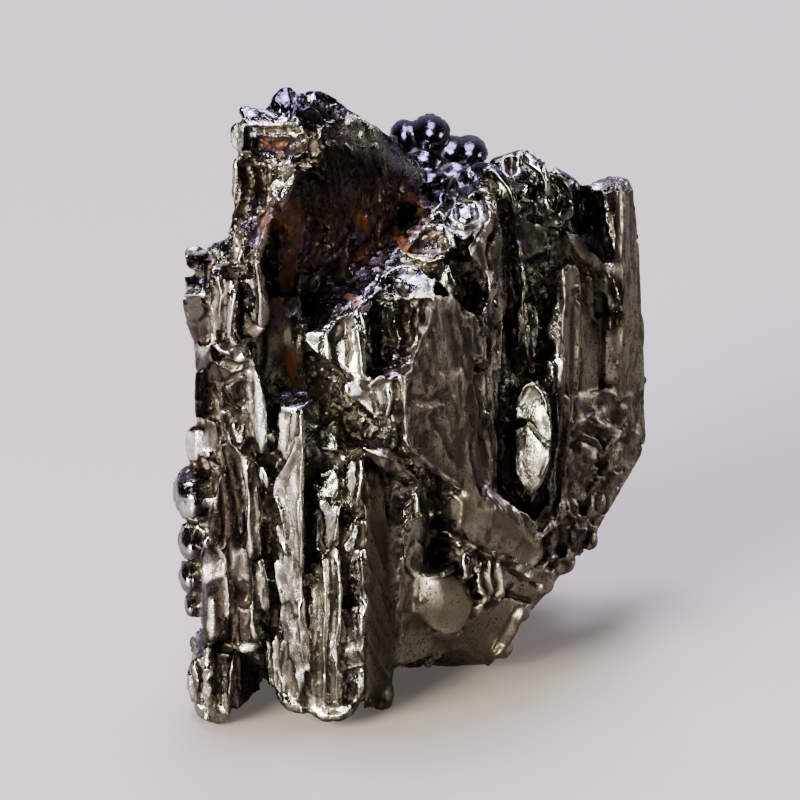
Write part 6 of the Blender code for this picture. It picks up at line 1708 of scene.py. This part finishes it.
# Painted light: the paper glows a little, where it is seen so its shadow stays pale, and where the
# metal mirrors it.
PAINTED_GLOW_IN_VIEW = (0.10, 0.092, 0.088, 1.0)    # glow of the paper where the camera sees it
PAINTED_GLOW_IN_METAL = (0.045, 0.040, 0.034, 1.0)   # glow of the paper where the metal mirrors it
floor_mesh = bpy.data.meshes.new("floor")
half = FLOOR_SIZE / 2
floor_mesh.from_pydata([(-half, -half, 0), (half, -half, 0), (half, half, 0), (-half, half, 0)], [],
                       [(0, 1, 2, 3)])
floor = bpy.data.objects.new("floor", floor_mesh)
bpy.context.scene.collection.objects.link(floor)
paper = bpy.data.materials.new("pale_floor")
paper.use_nodes = True
paper_shader = paper.node_tree.nodes["Principled BSDF"]
paper_shader.inputs["Roughness"].default_value = 0.5
tree = paper.node_tree
spot = add_node(tree, "ShaderNodeSeparateXYZ", {
    0: add_node(tree, "ShaderNodeTexCoord").outputs["Object"]}).outputs
side = calc(tree, "MULTIPLY_ADD", spot["Y"], 0.3, spot["X"])
shade = ramp(tree, side, -0.055, -0.005, 0.0, 1.0)
glossy = add_node(tree, "ShaderNodeLightPath").outputs["Is Glossy Ray"]
mirrored = mix_colour(tree, shade, LIT_PAPER_IN_METAL, SHADED_PAPER)
tree.links.new(mix_colour(tree, glossy, WARM_PAPER, mirrored), paper_shader.inputs["Base Color"])
in_view = add_node(tree, "ShaderNodeLightPath").outputs["Is Camera Ray"]
# Painted glow on the paper.
glow = mix_colour(tree, in_view, mix_colour(tree, glossy, (0.0, 0.0, 0.0, 1.0), PAINTED_GLOW_IN_METAL),
                  PAINTED_GLOW_IN_VIEW)
tree.links.new(glow, paper_shader.inputs["Emission Color"])
paper_shader.inputs["Emission Strength"].default_value = 1.0
floor_mesh.materials.append(paper)

# %% [markdown]
# ## Lights
#
# A soft key stands at the front left, a wide sky hangs above, and two weak lights
# from behind draw the rims. Few and large lights give long soft glints on metal,
# and small ones would give hard dots.

# %% Lights
LOOK_AT = Vector((0, 0, 0.021))


def softbox(name, place, size, power, colour):
    """A square soft light that looks at the middle of the fragment."""
    data = bpy.data.lights.new(name, "AREA")
    data.size = size
    data.energy = power
    data.color = colour
    lamp = bpy.data.objects.new(name, data)
    lamp.location = place
    lamp.rotation_mode = "QUATERNION"
    lamp.rotation_quaternion = (LOOK_AT - Vector(place)).to_track_quat("-Z", "Y")
    lamp.visible_camera = False
    bpy.context.scene.collection.objects.link(lamp)
    return lamp


softbox("key", (-0.42, -0.50, 0.24), 0.32, 13.0, (1.0, 0.97, 0.86))
softbox("sky", (-0.06, 0.12, 0.78), 0.34, 8.0, (0.74, 0.72, 1.0))
softbox("rear_sky", (0.05, 0.45, 0.60), 0.24, 2.5, (0.78, 0.76, 1.0))
softbox("edge", (0.55, 0.25, 0.25), 0.16, 1.2, (1.0, 0.95, 0.9))

DIM_ROOM = (0.033, 0.030, 0.036, 1.0)
REAR_GLOW = (0.34, 0.32, 0.46, 1.0)         # brighter wall behind the specimen
ROOM_IN_VIEW = (0.50, 0.485, 0.475, 1.0)
world = bpy.data.worlds.new("room")
bpy.context.scene.world = world
world.use_nodes = True
tree = world.node_tree
background = tree.nodes["Background"]
rays = tree.nodes.new("ShaderNodeLightPath")
toward = add_node(tree, "ShaderNodeTexCoord").outputs["Generated"]
axes = add_node(tree, "ShaderNodeSeparateXYZ", {0: toward}).outputs
glow = ramp(tree, axes["Y"], 0.60, 0.92, 0.0, 1.0)
room = mix_colour(tree, glow, DIM_ROOM, REAR_GLOW)
seen_room = mix_colour(tree, rays.outputs["Is Camera Ray"], room, ROOM_IN_VIEW)
tree.links.new(seen_room, background.inputs["Color"])

# %% [markdown]
# ## Camera
#
# The camera looks square at the sheet, so it looks down by the sheet's lean. It
# stands well back with a long lens, so the upright flutes stay nearly upright.

# %% Camera
DISTANCE = 0.9
FRAME_UNITS = 800.0         # the frame is this many sheet units wide
SENSOR = 36.0
camera_data = bpy.data.cameras.new("camera")
camera = bpy.data.objects.new("camera", camera_data)
bpy.context.scene.collection.objects.link(camera)
bpy.context.scene.camera = camera
camera.location = (sheet_point((400, 400, 15)) * MM) - SIGHT * DISTANCE
camera.rotation_mode = "QUATERNION"
camera.rotation_quaternion = SIGHT.to_track_quat("-Z", "Y")
camera_data.sensor_width = SENSOR
camera_data.lens = SENSOR * DISTANCE / (FRAME_UNITS / SHEET_UNITS_PER_MM * MM)
camera_data.clip_start = 0.01
camera_data.clip_end = 20.0
bpy.context.scene.view_settings.view_transform = "AgX"
bpy.context.scene.view_settings.look = "AgX - Medium High Contrast"
